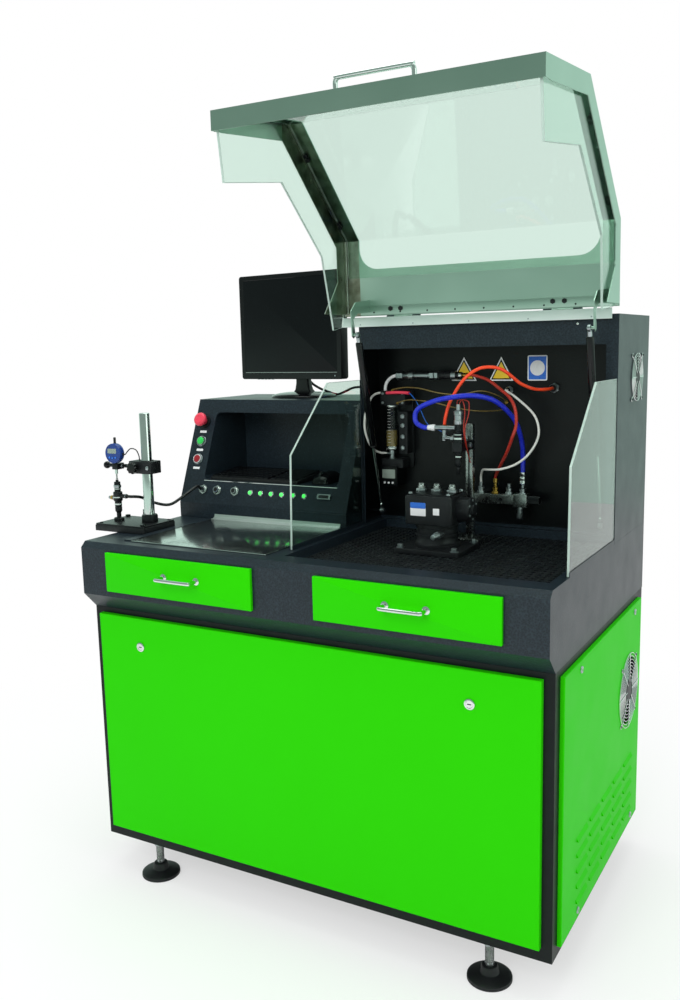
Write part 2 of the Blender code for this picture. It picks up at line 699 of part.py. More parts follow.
def hood():
    """Hood in its closed position under an empty on the hinge, tipped up by its angle."""
    pivot = finish(bpy.data.objects.new("hood_hinge", None), True)
    pivot.location = (0.0, HINGE_Y, HINGE_Z)
    pivot.rotation_euler = (math.radians(-HOOD_OPEN), 0.0, 0.0)
    t = COUNTER_SHEET
    x0, x1 = HOOD_X
    flange = offset_path(HOOD_OUTLINE, HOOD_FLANGE)
    lip = (HOOD_OUTLINE[0][0] + HOOD_LIP, HOOD_OUTLINE[0][1] - 0.0015)
    outline = HOOD_OUTLINE + HOOD_END + [(-0.092, flange[-1][1])] + flange[2:0:-1]
    outline += [(flange[0][0], -0.505), (lip[0], -0.505), lip]
    ob = prism("hood_frame", outline, (x0, x1))
    hollow = offset_path(HOOD_OUTLINE, t)
    far = offset_path(HOOD_OUTLINE, 0.060)
    hollow[0] = (hollow[0][0], hollow[0][1] + t)
    hollow[-1] = (hollow[-1][0] + 0.010, hollow[-1][1])
    room = hollow + [(0.0055, -0.115), (-0.110, -0.115)] + far[2:0:-1]
    room += [(lip[0] + 0.02, hollow[0][1])]
    cut(ob, prism("hood_room", room, (x0 + t, x1 - t), "X", True))
    low, high = x0 + HOOD_BORDER[0], x1 - HOOD_BORDER[1]
    over = along(offset_path(HOOD_OUTLINE, -0.01), 0.045, 0.655)
    under = along(offset_path(HOOD_OUTLINE, 0.012), 0.045, 0.625)
    cut(ob, prism("hood_view", over + under[::-1], (low, high), "X", True))
    corner = HOOD_OUTLINE[2][0]
    pane = rounded((low, high), (corner - 0.02, corner + 0.074), 0.05, (False, False, True, True))
    cut(ob, prism("hood_view_back", pane, (-0.02, 0.03), "Z", True))
    arm = [(-0.045, 0.0050), (-0.014, 0.0050), (-0.012, -0.060), (0.002, -0.0840)]
    arm += [(0.034, -0.0768), (0.043, -0.0765), (0.049, -0.0845), (0.043, -0.0925)]
    arm += [(-0.018, -0.0950), (-0.040, -0.070)]
    top = closed_strut_top()
    for side, wall in ((1, 0.0), (-1, HOUSING_LEFT)):
        span = sorted((wall - side * 0.0305, wall - side * 0.0330))
        fuse(ob, prism(f"strut_arm_{side + 1}", arm, span, "X", True))
        span = sorted((wall - side * 0.0320, wall - side * 0.0490))
        fuse(ob, cylinder(f"hood_stud_{side + 1}", top, 0.004, span, "X", True, 16))
    for side, wall in ((1, x1 + 0.0005), (-1, x0 - 0.0005)):
        for index, place in enumerate(((-0.418, -0.45), (-0.33, -0.149), (-0.10, -0.018))):
            span = sorted((wall - side * 0.0015, wall - side * 0.0075))
            fuse(ob, cylinder(f"spacer_{index}_{side + 1}", place, 0.005, span, "X", True, 8))
    for index, x in enumerate((-0.540, -0.130)):
        span = (x - 0.0255, x + 0.0255)
        fuse(ob, cylinder(f"barrel_{index}", (0.0, 0.0), 0.005, span, "X", True, 12))
        fuse(ob, cuboid(f"hood_leaf_{index}", span, (-0.020, 0.0), (0.0020, 0.0048), True))
        cut(ob, cylinder(f"barrel_bore_{index}", (0.0, 0.0), 0.0024, (x - 0.03, x + 0.03), "X", True, 12))
    hang(pivot, ob)
    paint(ob, "steel", 0.3, 1.0)

    near = along(offset_path(HOOD_OUTLINE, t + GAP), 0.030, 0.735)
    away = along(offset_path(HOOD_OUTLINE, t + GAP + 0.004), 0.030, 0.7285)
    ob = prism("hood_window", near + away[::-1], (x0 + 0.017, x1 - 0.017))
    hang(pivot, ob)
    paint(ob, "clear", 0.1)

    edge = offset_path(HOOD_OUTLINE, 0.003)
    edge[0] = (edge[0][0], edge[0][1] + 0.003)
    edge[-1] = (edge[-1][0] - 0.001, edge[-1][1] - 0.001)
    right = edge + SKIRT_REAR_RIGHT + SKIRT_INNER
    left = edge[:-1] + [(-0.0105, edge[-1][1])] + SKIRT_REAR_LEFT + SKIRT_INNER
    walls = (("hood_skirt_right", 1, x1, right), ("hood_skirt_left", -1, x0, left))
    for name, side, wall, outline in walls:
        span = sorted((wall - side * 0.0125, wall - side * 0.0075))
        ob = prism(name, outline, span)
        hang(pivot, ob)
        paint(ob, "clear", 0.1)

    outline = [Vector((point[0], point[1])) for point in HOOD_OUTLINE]
    up = (outline[1] - outline[0]).normalized()
    out = Vector((-up[1], up[0]))
    root = outline[0] + up * 0.032
    places = []
    for x, distance in ((-0.431, 0.0003), (-0.431, 0.018), (-0.427, 0.0235), (-0.419, 0.0255),
                        (-0.274, 0.0255), (-0.266, 0.0235), (-0.262, 0.018), (-0.262, 0.0003)):
        spot = root + out * distance
        places.append((x, spot[0], spot[1]))
    ob = tube("hood_handle", places, 0.005)
    hang(pivot, ob)
    paint(ob, "steel", 0.25, 1.0)
    for ob in [item for item in guides.objects if item.name.startswith(HOOD_HELPERS)]:
        hang(pivot, ob)


HOOD_HELPERS = ("hood_room", "hood_view", "strut_arm", "hood_stud", "spacer", "barrel", "hood_leaf")


def hang(pivot, ob):
    ob.parent = pivot


def closed_strut_top():
    """The upper strut pivot with the hood closed, from the hinge line."""
    y, z = STRUT_TOP[0] - HINGE_Y, STRUT_TOP[1] - HINGE_Z
    angle = math.radians(HOOD_OPEN)
    return (y * math.cos(angle) - z * math.sin(angle), y * math.sin(angle) + z * math.cos(angle))


def struts():
    """Gas struts: tube with its eye on the hood stud, rod sliding in the tube."""
    dy, dz = STRUT_TOP[0] - STRUT_BOTTOM[0], STRUT_TOP[1] - STRUT_BOTTOM[1]
    length = math.hypot(dy, dz)
    tilt = (math.atan2(-dy, dz), 0.0, 0.0)
    for side, x in (("left", STRUT_X[0]), ("right", STRUT_X[1])):
        foot = (x, STRUT_BOTTOM[0], STRUT_BOTTOM[1])
        head = (x, STRUT_TOP[0], STRUT_TOP[1])
        rod = cylinder(f"strut_{side}_rod", (0.0, 0.0), 0.0040, (0.006, 0.2380), sides=12)
        rod.data.transform(Matrix.Translation((0.0, 0.0, 0.1220)))
        rod.location = foot
        rod.rotation_euler = tilt
        eye = cylinder(f"rod_eye_{side}", (0.0, 0.0), 0.0085, (-0.0035, 0.0035), "X", True, 20)
        bore = cylinder(f"rod_bore_{side}", (0.0, 0.0), 0.0043, (-0.005, 0.005), "X", True, 20)
        eye.location = foot
        bore.location = foot
        fuse(rod, eye)
        cut(rod, bore)
        paint(rod, "steel", 0.25, 1.0)

        end = length - 0.018
        body = cylinder(f"strut_{side}_tube", (0.0, 0.0), 0.0090, (0.1780, end), sides=20)
        body.data.transform(Matrix.Translation((0.0, 0.0, (0.1780 + end) / 2)))
        body.location = foot
        body.rotation_euler = tilt
        room = cylinder(f"tube_bore_{side}", (0.0, 0.0), 0.0043, (0.10, 0.330), "Z", True, 12)
        room.data.transform(Matrix.Translation((0.0, 0.0, 0.215)))
        room.location = foot
        room.rotation_euler = tilt
        cut(body, room)
        neck = cuboid(f"tube_neck_{side}", (-0.0035, 0.0035), (-0.0065, 0.0065), (-0.020, -0.004), True)
        neck.data.transform(Matrix.Translation((0.0, 0.0, -0.012)))
        neck.location = head
        neck.rotation_euler = tilt
        eye = cylinder(f"tube_eye_{side}", (0.0, 0.0), 0.0078, (-0.0035, 0.0035), "X", True, 20)
        bore = cylinder(f"tube_eye_bore_{side}", (0.0, 0.0), 0.0043, (-0.005, 0.005), "X", True, 20)
        eye.location = head
        bore.location = head
        fuse(body, neck, eye)
        cut(body, bore)
        paint(body, "black", 0.3)


def guards():
    """Clear side guards standing in the channels."""
    outline = [(0.128, 0.9030), (0.136, 1.127), (0.315, 1.288), (0.4905, 1.288), (0.4905, 0.9030)]
    for name, x in (("guard_right", (-0.0065, -0.0015)), ("guard_left", (-0.6705, -0.6655))):
        ob = prism(name, outline, x)
        paint(ob, "clear", 0.1)


def slope_y(z):
    """Front surface of the console at a height."""
    (y0, z0), (y1, z1) = CONSOLE_OUTLINE[1], CONSOLE_OUTLINE[2]
    return y0 + (y1 - y0) * (z - z0) / (z1 - z0)


SLOPE_RUN = CONSOLE_OUTLINE[2][0] - CONSOLE_OUTLINE[1][0]
SLOPE_RISE = CONSOLE_OUTLINE[2][1] - CONSOLE_OUTLINE[1][1]
SLOPE = math.atan2(SLOPE_RUN, SLOPE_RISE)


def on_slope(name, x, z, profile, helper=False, steps=20):
    """Turned piece standing out of the console's front; heights are measured outwards."""
    ob = lathe(name, profile, (x, slope_y(z), z), helper=helper, steps=steps)
    ob.rotation_euler = (math.radians(90.0) - SLOPE, 0.0, 0.0)
    return ob


def console():
    """Console housing with its shelf, and what is set in its front."""
    t = COUNTER_SHEET
    ob = prism("console_housing", CONSOLE_OUTLINE, CONSOLE_X)
    inner = [(0.402, 0.89), (0.402, 0.9446), (0.5164, 1.230), (0.803, 1.230), (0.803, 0.89)]
    cut(ob, prism("console_inside", inner, (CONSOLE_X[0] + t, CONSOLE_X[1] - t), "X", True))
    low, high = SHELF_Z[0] - t, SHELF_Z[1] + t
    block = [(slope_y(low) + 0.0006, low), (slope_y(high) + 0.0006, high)]
    block += [(SHELF_BACK + t, high), (SHELF_BACK + t, low)]
    fuse(ob, prism("shelf_block", block, (SHELF_X[0] - t, SHELF_X[1] + t), "X", True))
    room = rounded(SHELF_X, SHELF_Z, 0.015)
    cut(ob, prism("shelf_room", room, (0.35, SHELF_BACK), "Y", True))
    hole = [(0.0, 0.02), (0.0103, 0.02), (0.0103, -0.02), (0.0, -0.02)]
    for name, z in (("stop_hole", 1.168), ("start_hole", 1.114), ("off_hole", 1.064)):
        cut(ob, on_slope(name, BUTTON_X, z, hole, True))
    lamp = [(0.0, 0.01), (0.0054, 0.01), (0.0054, -0.01), (0.0, -0.01)]
    for index, x in enumerate(LAMP_X):
        cut(ob, on_slope(f"lamp_hole_{index}", x, 0.981, lamp, True, 10))
    socket = [(0.0, 0.012), (0.0085, 0.012), (0.0085, 0.003), (0.0115, 0.003), (0.0115, -0.001)]
    socket += [(0.0, -0.001)]
    for index, x in enumerate((-1.144, -1.095, -1.034)):
        fuse(ob, on_slope(f"socket_{index}", x, 0.982, socket, True, 12))
    plug = cuboid("data_socket", (-0.0195, 0.0195), (-0.0065, 0.0065), (-0.001, 0.006), True)
    plug.location = (-0.746, slope_y(0.982), 0.982)
    plug.rotation_euler = (math.radians(90.0) - SLOPE, 0.0, 0.0)
    plug.data.transform(Matrix.Translation((0.0, 0.0, 0.0025)))
    fuse(ob, plug)
    paint(ob, "grey", 0.45)

    ob = cuboid("lamp_board", (-1.000, -0.793), (-0.010, 0.010), (-0.0046, -0.0023))
    ob.data.transform(Matrix.Translation((0.0, 0.0, -0.00345)))
    ob.location = ((-1.000 - 0.793) / 2, slope_y(0.981), 0.981)
    ob.rotation_euler = (math.radians(90.0) - SLOPE, 0.0, 0.0)
    bulb = [(0.0, 0.006), (0.0030, 0.0052), (0.0050, 0.0025), (0.0050, -0.0030), (0.0, -0.0030)]
    for index, x in enumerate(LAMP_X):
        fuse(ob, on_slope(f"lamp_{index}", x, 0.981, bulb, True, 10))
    paint(ob, "black")

    buttons = []
    head = [(0.0, 0.034), (0.014, 0.0335), (0.0195, 0.030), (0.0200, 0.022), (0.0150, 0.0180)]
    head += [(0.0100, 0.0170), (0.0098, -0.018), (0.0, -0.018)]
    buttons.append(("emergency_stop", 1.168, head, "red"))
    head = [(0.0, 0.0095), (0.0115, 0.0090), (0.0130, 0.0070), (0.0130, 0.0046), (0.0098, 0.0046)]
    head += [(0.0098, -0.014), (0.0, -0.014)]
    buttons.append(("start_button", 1.114, head, "green"))
    buttons.append(("stop_button", 1.064, head, "red"))
    for name, z, profile, colour in buttons:
        ob = on_slope(name, BUTTON_X, z, profile)
        paint(ob, colour, 0.3)


def keyboard_and_mouse():
    """Keyboard and mouse lying on the console's shelf."""
    top = SHELF_Z[0] + GAP
    outline = [(0.4380, top), (0.4380, top + 0.008), (0.5740, top + 0.020), (0.5750, top)]
    ob = prism("keyboard", outline, (-1.135, -0.845))
    key_rows = 5
    for row in range(key_rows):
        for index, (x0, x1) in enumerate(((-1.130, -0.940), (-0.932, -0.850))):
            y = 0.446 + 0.0245 * row
            z = top + 0.008 + 0.012 * (y + 0.010 - 0.438) / 0.136
            bank = cuboid(f"keys_{row}_{index}", (x0, x1), (y, y + 0.020), (z - 0.002, z + 0.0035), True)
            fuse(ob, bank)
    paint(ob, "black")
    profile = [(0.0, 0.034), (0.016, 0.031), (0.027, 0.022), (0.031, 0.010), (0.030, 0.0), (0.0, 0.0)]
    ob = lathe("mouse", profile, (-0.790, 0.505, top), steps=24)
    ob.scale = (1.0, 1.75, 1.0)
    paint(ob, "black", 0.3)


def monitor():
    """Screen on its stand; the stand's barrel carries the screen's two lugs."""
    turn = Matrix.Rotation(math.radians(MONITOR_TURN), 4, "Z")
    base = CONSOLE_OUTLINE[2][1] + GAP
    at = Vector((MONITOR_AT[0], MONITOR_AT[1], 0.0))

    def place(ob, x, y, z):
        ob.location = at + turn @ Vector((x, y, z))
        ob.rotation_euler = (0.0, 0.0, math.radians(MONITOR_TURN))
        return ob

    def block(name, x, y, z, helper=True):
        ob = cuboid(name, x, y, z, helper)
        middle = ((x[0] + x[1]) / 2, (y[0] + y[1]) / 2, (z[0] + z[1]) / 2)
        return place(ob, *middle)

    profile = [(0.0, base + 0.016), (0.060, base + 0.014), (0.095, base + 0.007), (0.100, base)]
    profile += [(0.0, base)]
    stand = lathe("monitor_stand", profile, (0.0, 0.0, 0.0), steps=28)
    stand.scale = (1.0, 0.85, 1.0)
    place(stand, 0.0, 0.0, 0.0)
    fuse(stand, block("stand_neck", (-0.022, 0.022), (-0.006, 0.012), (base + 0.010, 1.440)))
    pin = cylinder("stand_barrel", (0.0, 0.0), 0.009, (-0.0295, 0.0295), "X", True, 16)
    fuse(stand, place(pin, 0.0, 0.003, 1.440))
    axle = cylinder("stand_axle", (0.0, 0.0), 0.004, (-0.042, 0.042), "X", True, 10)
    fuse(stand, place(axle, 0.0, 0.003, 1.440))
    paint(stand, "black", 0.3)

    ob = cuboid(
        "monitor",
        (-0.185, 0.185),
        (-0.060, -0.016),
        (1.286, 1.585),
        soften=lambda co: co.y > 0,
        width=0.012,
    )
    middle = Vector((0.0, -0.038, 1.4355))
    place(ob, middle.x, middle.y, middle.z)
    cut(ob, block("screen_recess", (-0.171, 0.171), (-0.07, -0.0585), (1.308, 1.571)))
    for side in (-1, 1):
        x = sorted((side * 0.0300, side * 0.0385))
        fuse(ob, block(f"lug_{side + 1}", x, (-0.020, 0.011), (1.430, 1.450)))
    hole = cylinder("lug_bore", (0.0, 0.0), 0.0045, (-0.05, 0.05), "X", True, 10)
    cut(ob, place(hole, 0.0, 0.003, 1.440))
    paint(ob, "black", 0.3)


def gauge():
    """Gauge stand with its clamp, dial indicator and the injector under the spindle."""
    cx, cy = COLUMN_AT
    gx, gy = GAUGE_AT
    top = 0.922
    ob = cuboid("gauge_stand", (-1.297, -1.127), (0.132, 0.262), (COUNTER_TOP + GAP, top),
                soften=lambda co: co.z > 0, width=0.002)
    post = [(0.0, 1.214), (0.0125, 1.214), (0.0140, 1.2125), (0.0140, 0.945), (0.0210, 0.943)]
    post += [(0.0210, 0.920), (0.0, 0.920)]
    fuse(ob, lathe("gauge_post", post, (cx, cy, 0.0), helper=True))
    knob = [(0.0, 0.948), (0.011, 0.947), (0.012, 0.945), (0.012, 0.935), (0.004, 0.934)]
    knob += [(0.004, 0.920), (0.0, 0.920)]
    fuse(ob, lathe("gauge_knob", knob, (-1.212, 0.248, 0.0), helper=True, steps=12))
    for index, (x, y) in enumerate(((-1.140, 0.145), (-1.285, 0.250))):
        fuse(ob, cylinder(f"plate_screw_{index}", (x, y), 0.006, (0.920, 0.927), "Z", True, 8))
    paint(ob, "steel", 0.3, 1.0)

    ob = cuboid("gauge_clamp", (-1.216, -1.139), (0.186, 0.232), (1.054, 1.087),
                soften=lambda co: abs(co.z) > 0.01, width=0.002)
    cut(ob, cylinder("clamp_bore", COLUMN_AT, 0.0143, (1.04, 1.10), "Z", True))
    fuse(ob, cylinder("clamp_arm", (0.207, 1.0705), 0.005, (-1.304, -1.210), "X", True, 12))
    ball = [(0.0, 0.010), (0.005, 0.0087), (0.0087, 0.005), (0.010, 0.0), (0.0087, -0.005)]
    ball += [(0.005, -0.0087), (0.0, -0.010)]
    fuse(ob, lathe("arm_ball", ball, (-1.310, 0.207, 1.0705), "X", True, 12))
    fuse(ob, cuboid("stem_clamp", (gx - 0.010, gx + 0.010), (0.182, 0.213), (1.0625, 1.0785), True))
    cut(ob, cylinder("stem_bore", GAUGE_AT, 0.0044, (1.05, 1.09), "Z", True, 16))
    knob = [(0.0, 0.021), (0.014, 0.020), (0.016, 0.018), (0.016, 0.008), (0.005, 0.006)]
    knob += [(0.005, -0.001), (0.0, -0.001)]
    handle = lathe("clamp_knob", knob, (-1.190, 0.186, 1.0705), helper=True, steps=16)
    handle.rotation_euler = (math.radians(90.0), 0.0, 0.0)
    fuse(ob, handle)
    paint(ob, "black")

    face = [(0.0, 0.0105), (0.0225, 0.0105), (0.0240, 0.0120), (0.0270, 0.0115), (0.0270, -0.0060)]
    face += [(0.0240, -0.0080), (0.0, -0.0080)]
    ob = lathe("dial_indicator", face, (gx, gy, 1.106), steps=28)
    ob.rotation_euler = (math.radians(90.0), 0.0, 0.0)
    fuse(ob, cylinder("stem", GAUGE_AT, 0.0040, (1.0500, 1.0830), "Z", True, 16))
    fuse(ob, cylinder("stem_cap", GAUGE_AT, 0.0035, (1.1300, 1.1490), "Z", True, 12))
    cut(ob, cylinder("spindle_bore", GAUGE_AT, 0.0023, (1.04, 1.0760), "Z", True, 12))
    paint(ob, "blue", 0.3)

    rod = [(0.0, 1.0640), (0.0020, 1.0640), (0.0020, 1.0400), (0.0035, 1.0395), (0.0035, 1.0370)]
    rod += [(0.0015, 1.0343), (0.0, 1.0343)]
    ob = lathe("indicator_spindle", rod, (gx, gy, 0.0), steps=12)
    paint(ob, "steel", 0.2, 1.0)

    body = [(0.0, 1.0340), (0.004, 1.0340), (0.004, 1.028), (0.0085, 1.028), (0.0085, 1.002)]
    body += [(0.0125, 1.000), (0.0125, 0.978), (0.0095, 0.975), (0.0095, 0.949), (0.0060, 0.945)]
    body += [(0.0060, 0.932), (0.0140, 0.930), (0.0140, 0.9223), (0.0, 0.9223)]
    ob = lathe("bench_injector", body, (gx, gy, 0.0), steps=16)
    port = cylinder("injector_port", (0.0, 0.0), 0.0055, (0.0, 0.028), "X", True, 10)
    port.location = (gx + 0.020, gy, 0.990)
    fuse(ob, port)
    inlet = cylinder("injector_inlet", (0.0, 0.0), 0.0045, (0.0, 0.030), "X", True, 10)
    inlet.location = (gx - 0.016, gy, 0.984)
    fuse(ob, inlet)
    paint(ob, "steel", 0.25, 1.0)


def drive():
    """Drive motor hung under the sink, the coupling to the pump, and the oil tank."""
    dx, dy = DRIVE_AT
    under = SINK_FLOOR - COUNTER_SHEET - GAP
    body = [(0.0, 0.8610), (0.0100, 0.8610), (0.0100, under - 0.020), (0.0660, under - 0.020)]
    body += [(0.0660, 0.6200), (0.0600, 0.6000), (0.0, 0.6000)]
    ob = lathe("drive_motor", body, (dx, dy, 0.0), steps=24)
    for index in range(8):
        angle = math.radians(22.5 + 45 * index)
        fin = cuboid(f"motor_fin_{index}", (0.060, 0.0715), (-0.0015, 0.0015), (0.640, 0.820), True)
        fin.data.transform(Matrix.Translation((0.06575, 0.0, 0.0)))
        fin.location = (dx, dy, 0.730)
        fin.rotation_euler = (0.0, 0.0, angle)
        fuse(ob, fin)
    for index, (u, v) in enumerate(((-1, -1), (1, -1), (-1, 1), (1, 1))):
        post = (dx + u * 0.040, dy + v * 0.040)
        fuse(ob, cylinder(f"motor_post_{index}", post, 0.008, (under - 0.030, under), "Z", True, 8))
    paint(ob, "grey")

    ring = [(0.0, 0.8840), (0.0250, 0.8840), (0.0250, 0.8515), (0.0104, 0.8515), (0.0104, 0.8620)]
    ring += [(0.0, 0.8620)]
    ob = lathe("drive_coupling", ring, (dx, dy, 0.0), steps=24)
    paint(ob, "steel", 0.3, 1.0)

    floor = FRAME_BOTTOM + 0.003 + GAP
    ob = cuboid("oil_tank", (-1.080, -0.600), (0.200, 0.620), (floor, 0.440))
    cut(ob, cuboid("tank_room", (-1.0775, -0.6025), (0.2025, 0.6175), (floor + 0.0025, 0.4375), True))
    fuse(ob, cylinder("tank_neck", (-0.70, 0.30), 0.030, (0.4370, 0.4650), "Z", True, 24))
    cut(ob, cylinder("tank_mouth", (-0.70, 0.30), 0.026, (0.43, 0.48), "Z", True, 24))
    paint(ob, "grey")


def chamber_equipment():
    """Pump, injector stand, measuring cylinder, manifold and sensor line."""
    dx, dy = DRIVE_AT
    low = SINK_FLOOR + GAP + 0.008 + GAP
    ob = cuboid("pump", (dx - 0.085, dx + 0.085), (dy - 0.075, dy + 0.075), (low, 0.8930))
    fuse(ob, cylinder("pump_body", DRIVE_AT, 0.052, (0.8900, 0.9600), "Z", True))
    fuse(ob, cuboid("pump_head", (dx - 0.062, dx + 0.060), (dy - 0.055, dy + 0.050), (0.950, 1.020), True))
    for index, x in enumerate((dx - 0.040, dx, dx + 0.040)):
        fuse(ob, cylinder(f"pump_valve_{index}", (x, dy), 0.013, (1.015, 1.045), "Z", True, 12))
    fuse(ob, cylinder("pump_end", (dy, 0.985), 0.030, (dx + 0.055, dx + 0.098), "X", True, 20))
    sensor = cylinder("pump_sensor", (dx + 0.030, 0.930), 0.008, (dy - 0.095, dy - 0.040), "Y", True, 16)
    fuse(ob, sensor)
    cut(ob, cylinder("pump_socket", DRIVE_AT, 0.0262, (0.87, 0.8880), "Z", True))
    paint(ob, "black", 0.4)

    px, py = -0.355, 0.472
    ob = cuboid("injector_stand", (px - 0.030, px + 0.030), (py - 0.022, py + 0.030), (low, 0.8930))
    fuse(ob, cuboid("stand_post", (px - 0.009, px + 0.009), (py - 0.006, py + 0.012), (0.888, 1.180), True))
    fuse(ob, cuboid("stand_arm", (px - 0.013, px + 0.013), (0.386, py + 0.002), (1.118, 1.142), True))
    body = [(0.0, 1.232), (0.0050, 1.232), (0.0050, 1.218), (0.0110, 1.216), (0.0110, 1.186)]
    body += [(0.0080, 1.184), (0.0080, 1.168), (0.0120, 1.166), (0.0120, 1.120), (0.0085, 1.112)]
    body += [(0.0085, 1.085), (0.0045, 1.080), (0.0045, 1.064), (0.0, 1.064)]
    fuse(ob, lathe("clamped_injector", body, (px, 0.400, 0.0), helper=True, steps=16))
    fuse(ob, cylinder("injector_union", (0.408, 1.150), 0.0050, (-0.397, px), "X", True, 10))
    fuse(ob, cylinder("union_elbow", (-0.396, 0.411), 0.0060, (1.143, 1.170), "Z", True, 12))
    fuse(ob, cylinder("injector_return", (0.389, 1.176), 0.0060, (-0.430, px), "X", True, 12))
    paint(ob, "steel", 0.3, 1.0)

    wall = PARTITION_Y - GAP
    ob = cuboid("measuring_cylinder", (-0.642, -0.566), (0.593, wall), (1.050, 1.256))
    glass = [(0.0, 1.222), (0.0165, 1.222), (0.0165, 1.106), (0.0085, 1.097), (0.0085, 1.056)]
    glass += [(0.0, 1.056)]
    fuse(ob, lathe("glass", glass, (-0.617, 0.566, 0.0), helper=True, steps=16))
    fuse(ob, cylinder("glass_nipple", (0.5585, 1.0885), 0.0035, (-0.6277, -0.616), "X", True, 10))
    fuse(ob, cuboid("cylinder_head", (-0.642, -0.568), (0.548, 0.594), (1.218, 1.256), True))
    fuse(ob, cuboid("cylinder_foot", (-0.642, -0.577), (0.550, 0.594), (1.050, 1.074), True))
    fuse(ob, cuboid("valve_stack", (-0.594, -0.568), (0.560, 0.594), (1.088, 1.200), True))
    fuse(ob, cuboid("meter_box", (-0.643, -0.593), (0.545, wall), (1.000, 1.056), True))
    paint(ob, "black", 0.3)

    ob = cuboid("fuel_manifold", (-0.378, -0.262), (0.540, 0.562), (0.972, 0.996))
    for index, x in enumerate((-0.356, -0.317, -0.281, -0.245)):
        nut = [(0.0, 1.024), (0.0040, 1.024), (0.0040, 1.012), (0.0085, 1.011), (0.0085, 0.990), (0.0, 0.990)]
        fuse(ob, lathe(f"manifold_port_{index}", nut, (x, 0.551, 0.0), helper=True, steps=10))
    fuse(ob, cuboid("manifold_end", (-0.266, -0.230), (0.536, 0.566), (0.966, 1.000), True))
    fuse(ob, cylinder("manifold_plug", (0.551, 0.984), 0.011, (-0.232, -0.200), "X", True, 16))
    fuse(ob, cylinder("manifold_outlet", (-0.252, 0.551), 0.008, (0.935, 0.970), "Z", True, 16))
    for index, x in enumerate((-0.372, -0.276)):
        fuse(ob, cuboid(f"manifold_foot_{index}", (x, x + 0.012), (0.558, wall), (0.976, 0.992), True))
    paint(ob, "steel", 0.25, 1.0)

    ob = cylinder("sensor_line", (0.560, 1.296), 0.0075, (-0.580, -0.470), "X", sides=20)
    fuse(ob, cylinder("sensor_nut", (0.560, 1.296), 0.0125, (-0.500, -0.476), "X", True, 6))
    fuse(ob, cylinder("sensor_plug", (0.560, 1.296), 0.0100, (-0.474, -0.408), "X", True, 20))
    fuse(ob, cylinder("sensor_end", (0.560, 1.296), 0.0120, (-0.596, -0.576), "X", True, 6))
    bend = [(-0.590, 0.560, 1.296), (-0.606, 0.560, 1.2945), (-0.620, 0.560, 1.2865)]
    bend += [(-0.6285, 0.560, 1.2755), (-0.6315, 0.560, 1.2640), (-0.6315, 0.560, 1.2563)]
    fuse(ob, tube("sensor_tube", smooth_route(bend, 0.010), 0.0042, True))
    for index, x in enumerate((-0.560, -0.440)):
        fuse(ob, cuboid(f"sensor_foot_{index}", (x, x + 0.014), (0.562, wall), (1.290, 1.302), True))
    paint(ob, "steel", 0.25, 1.0)


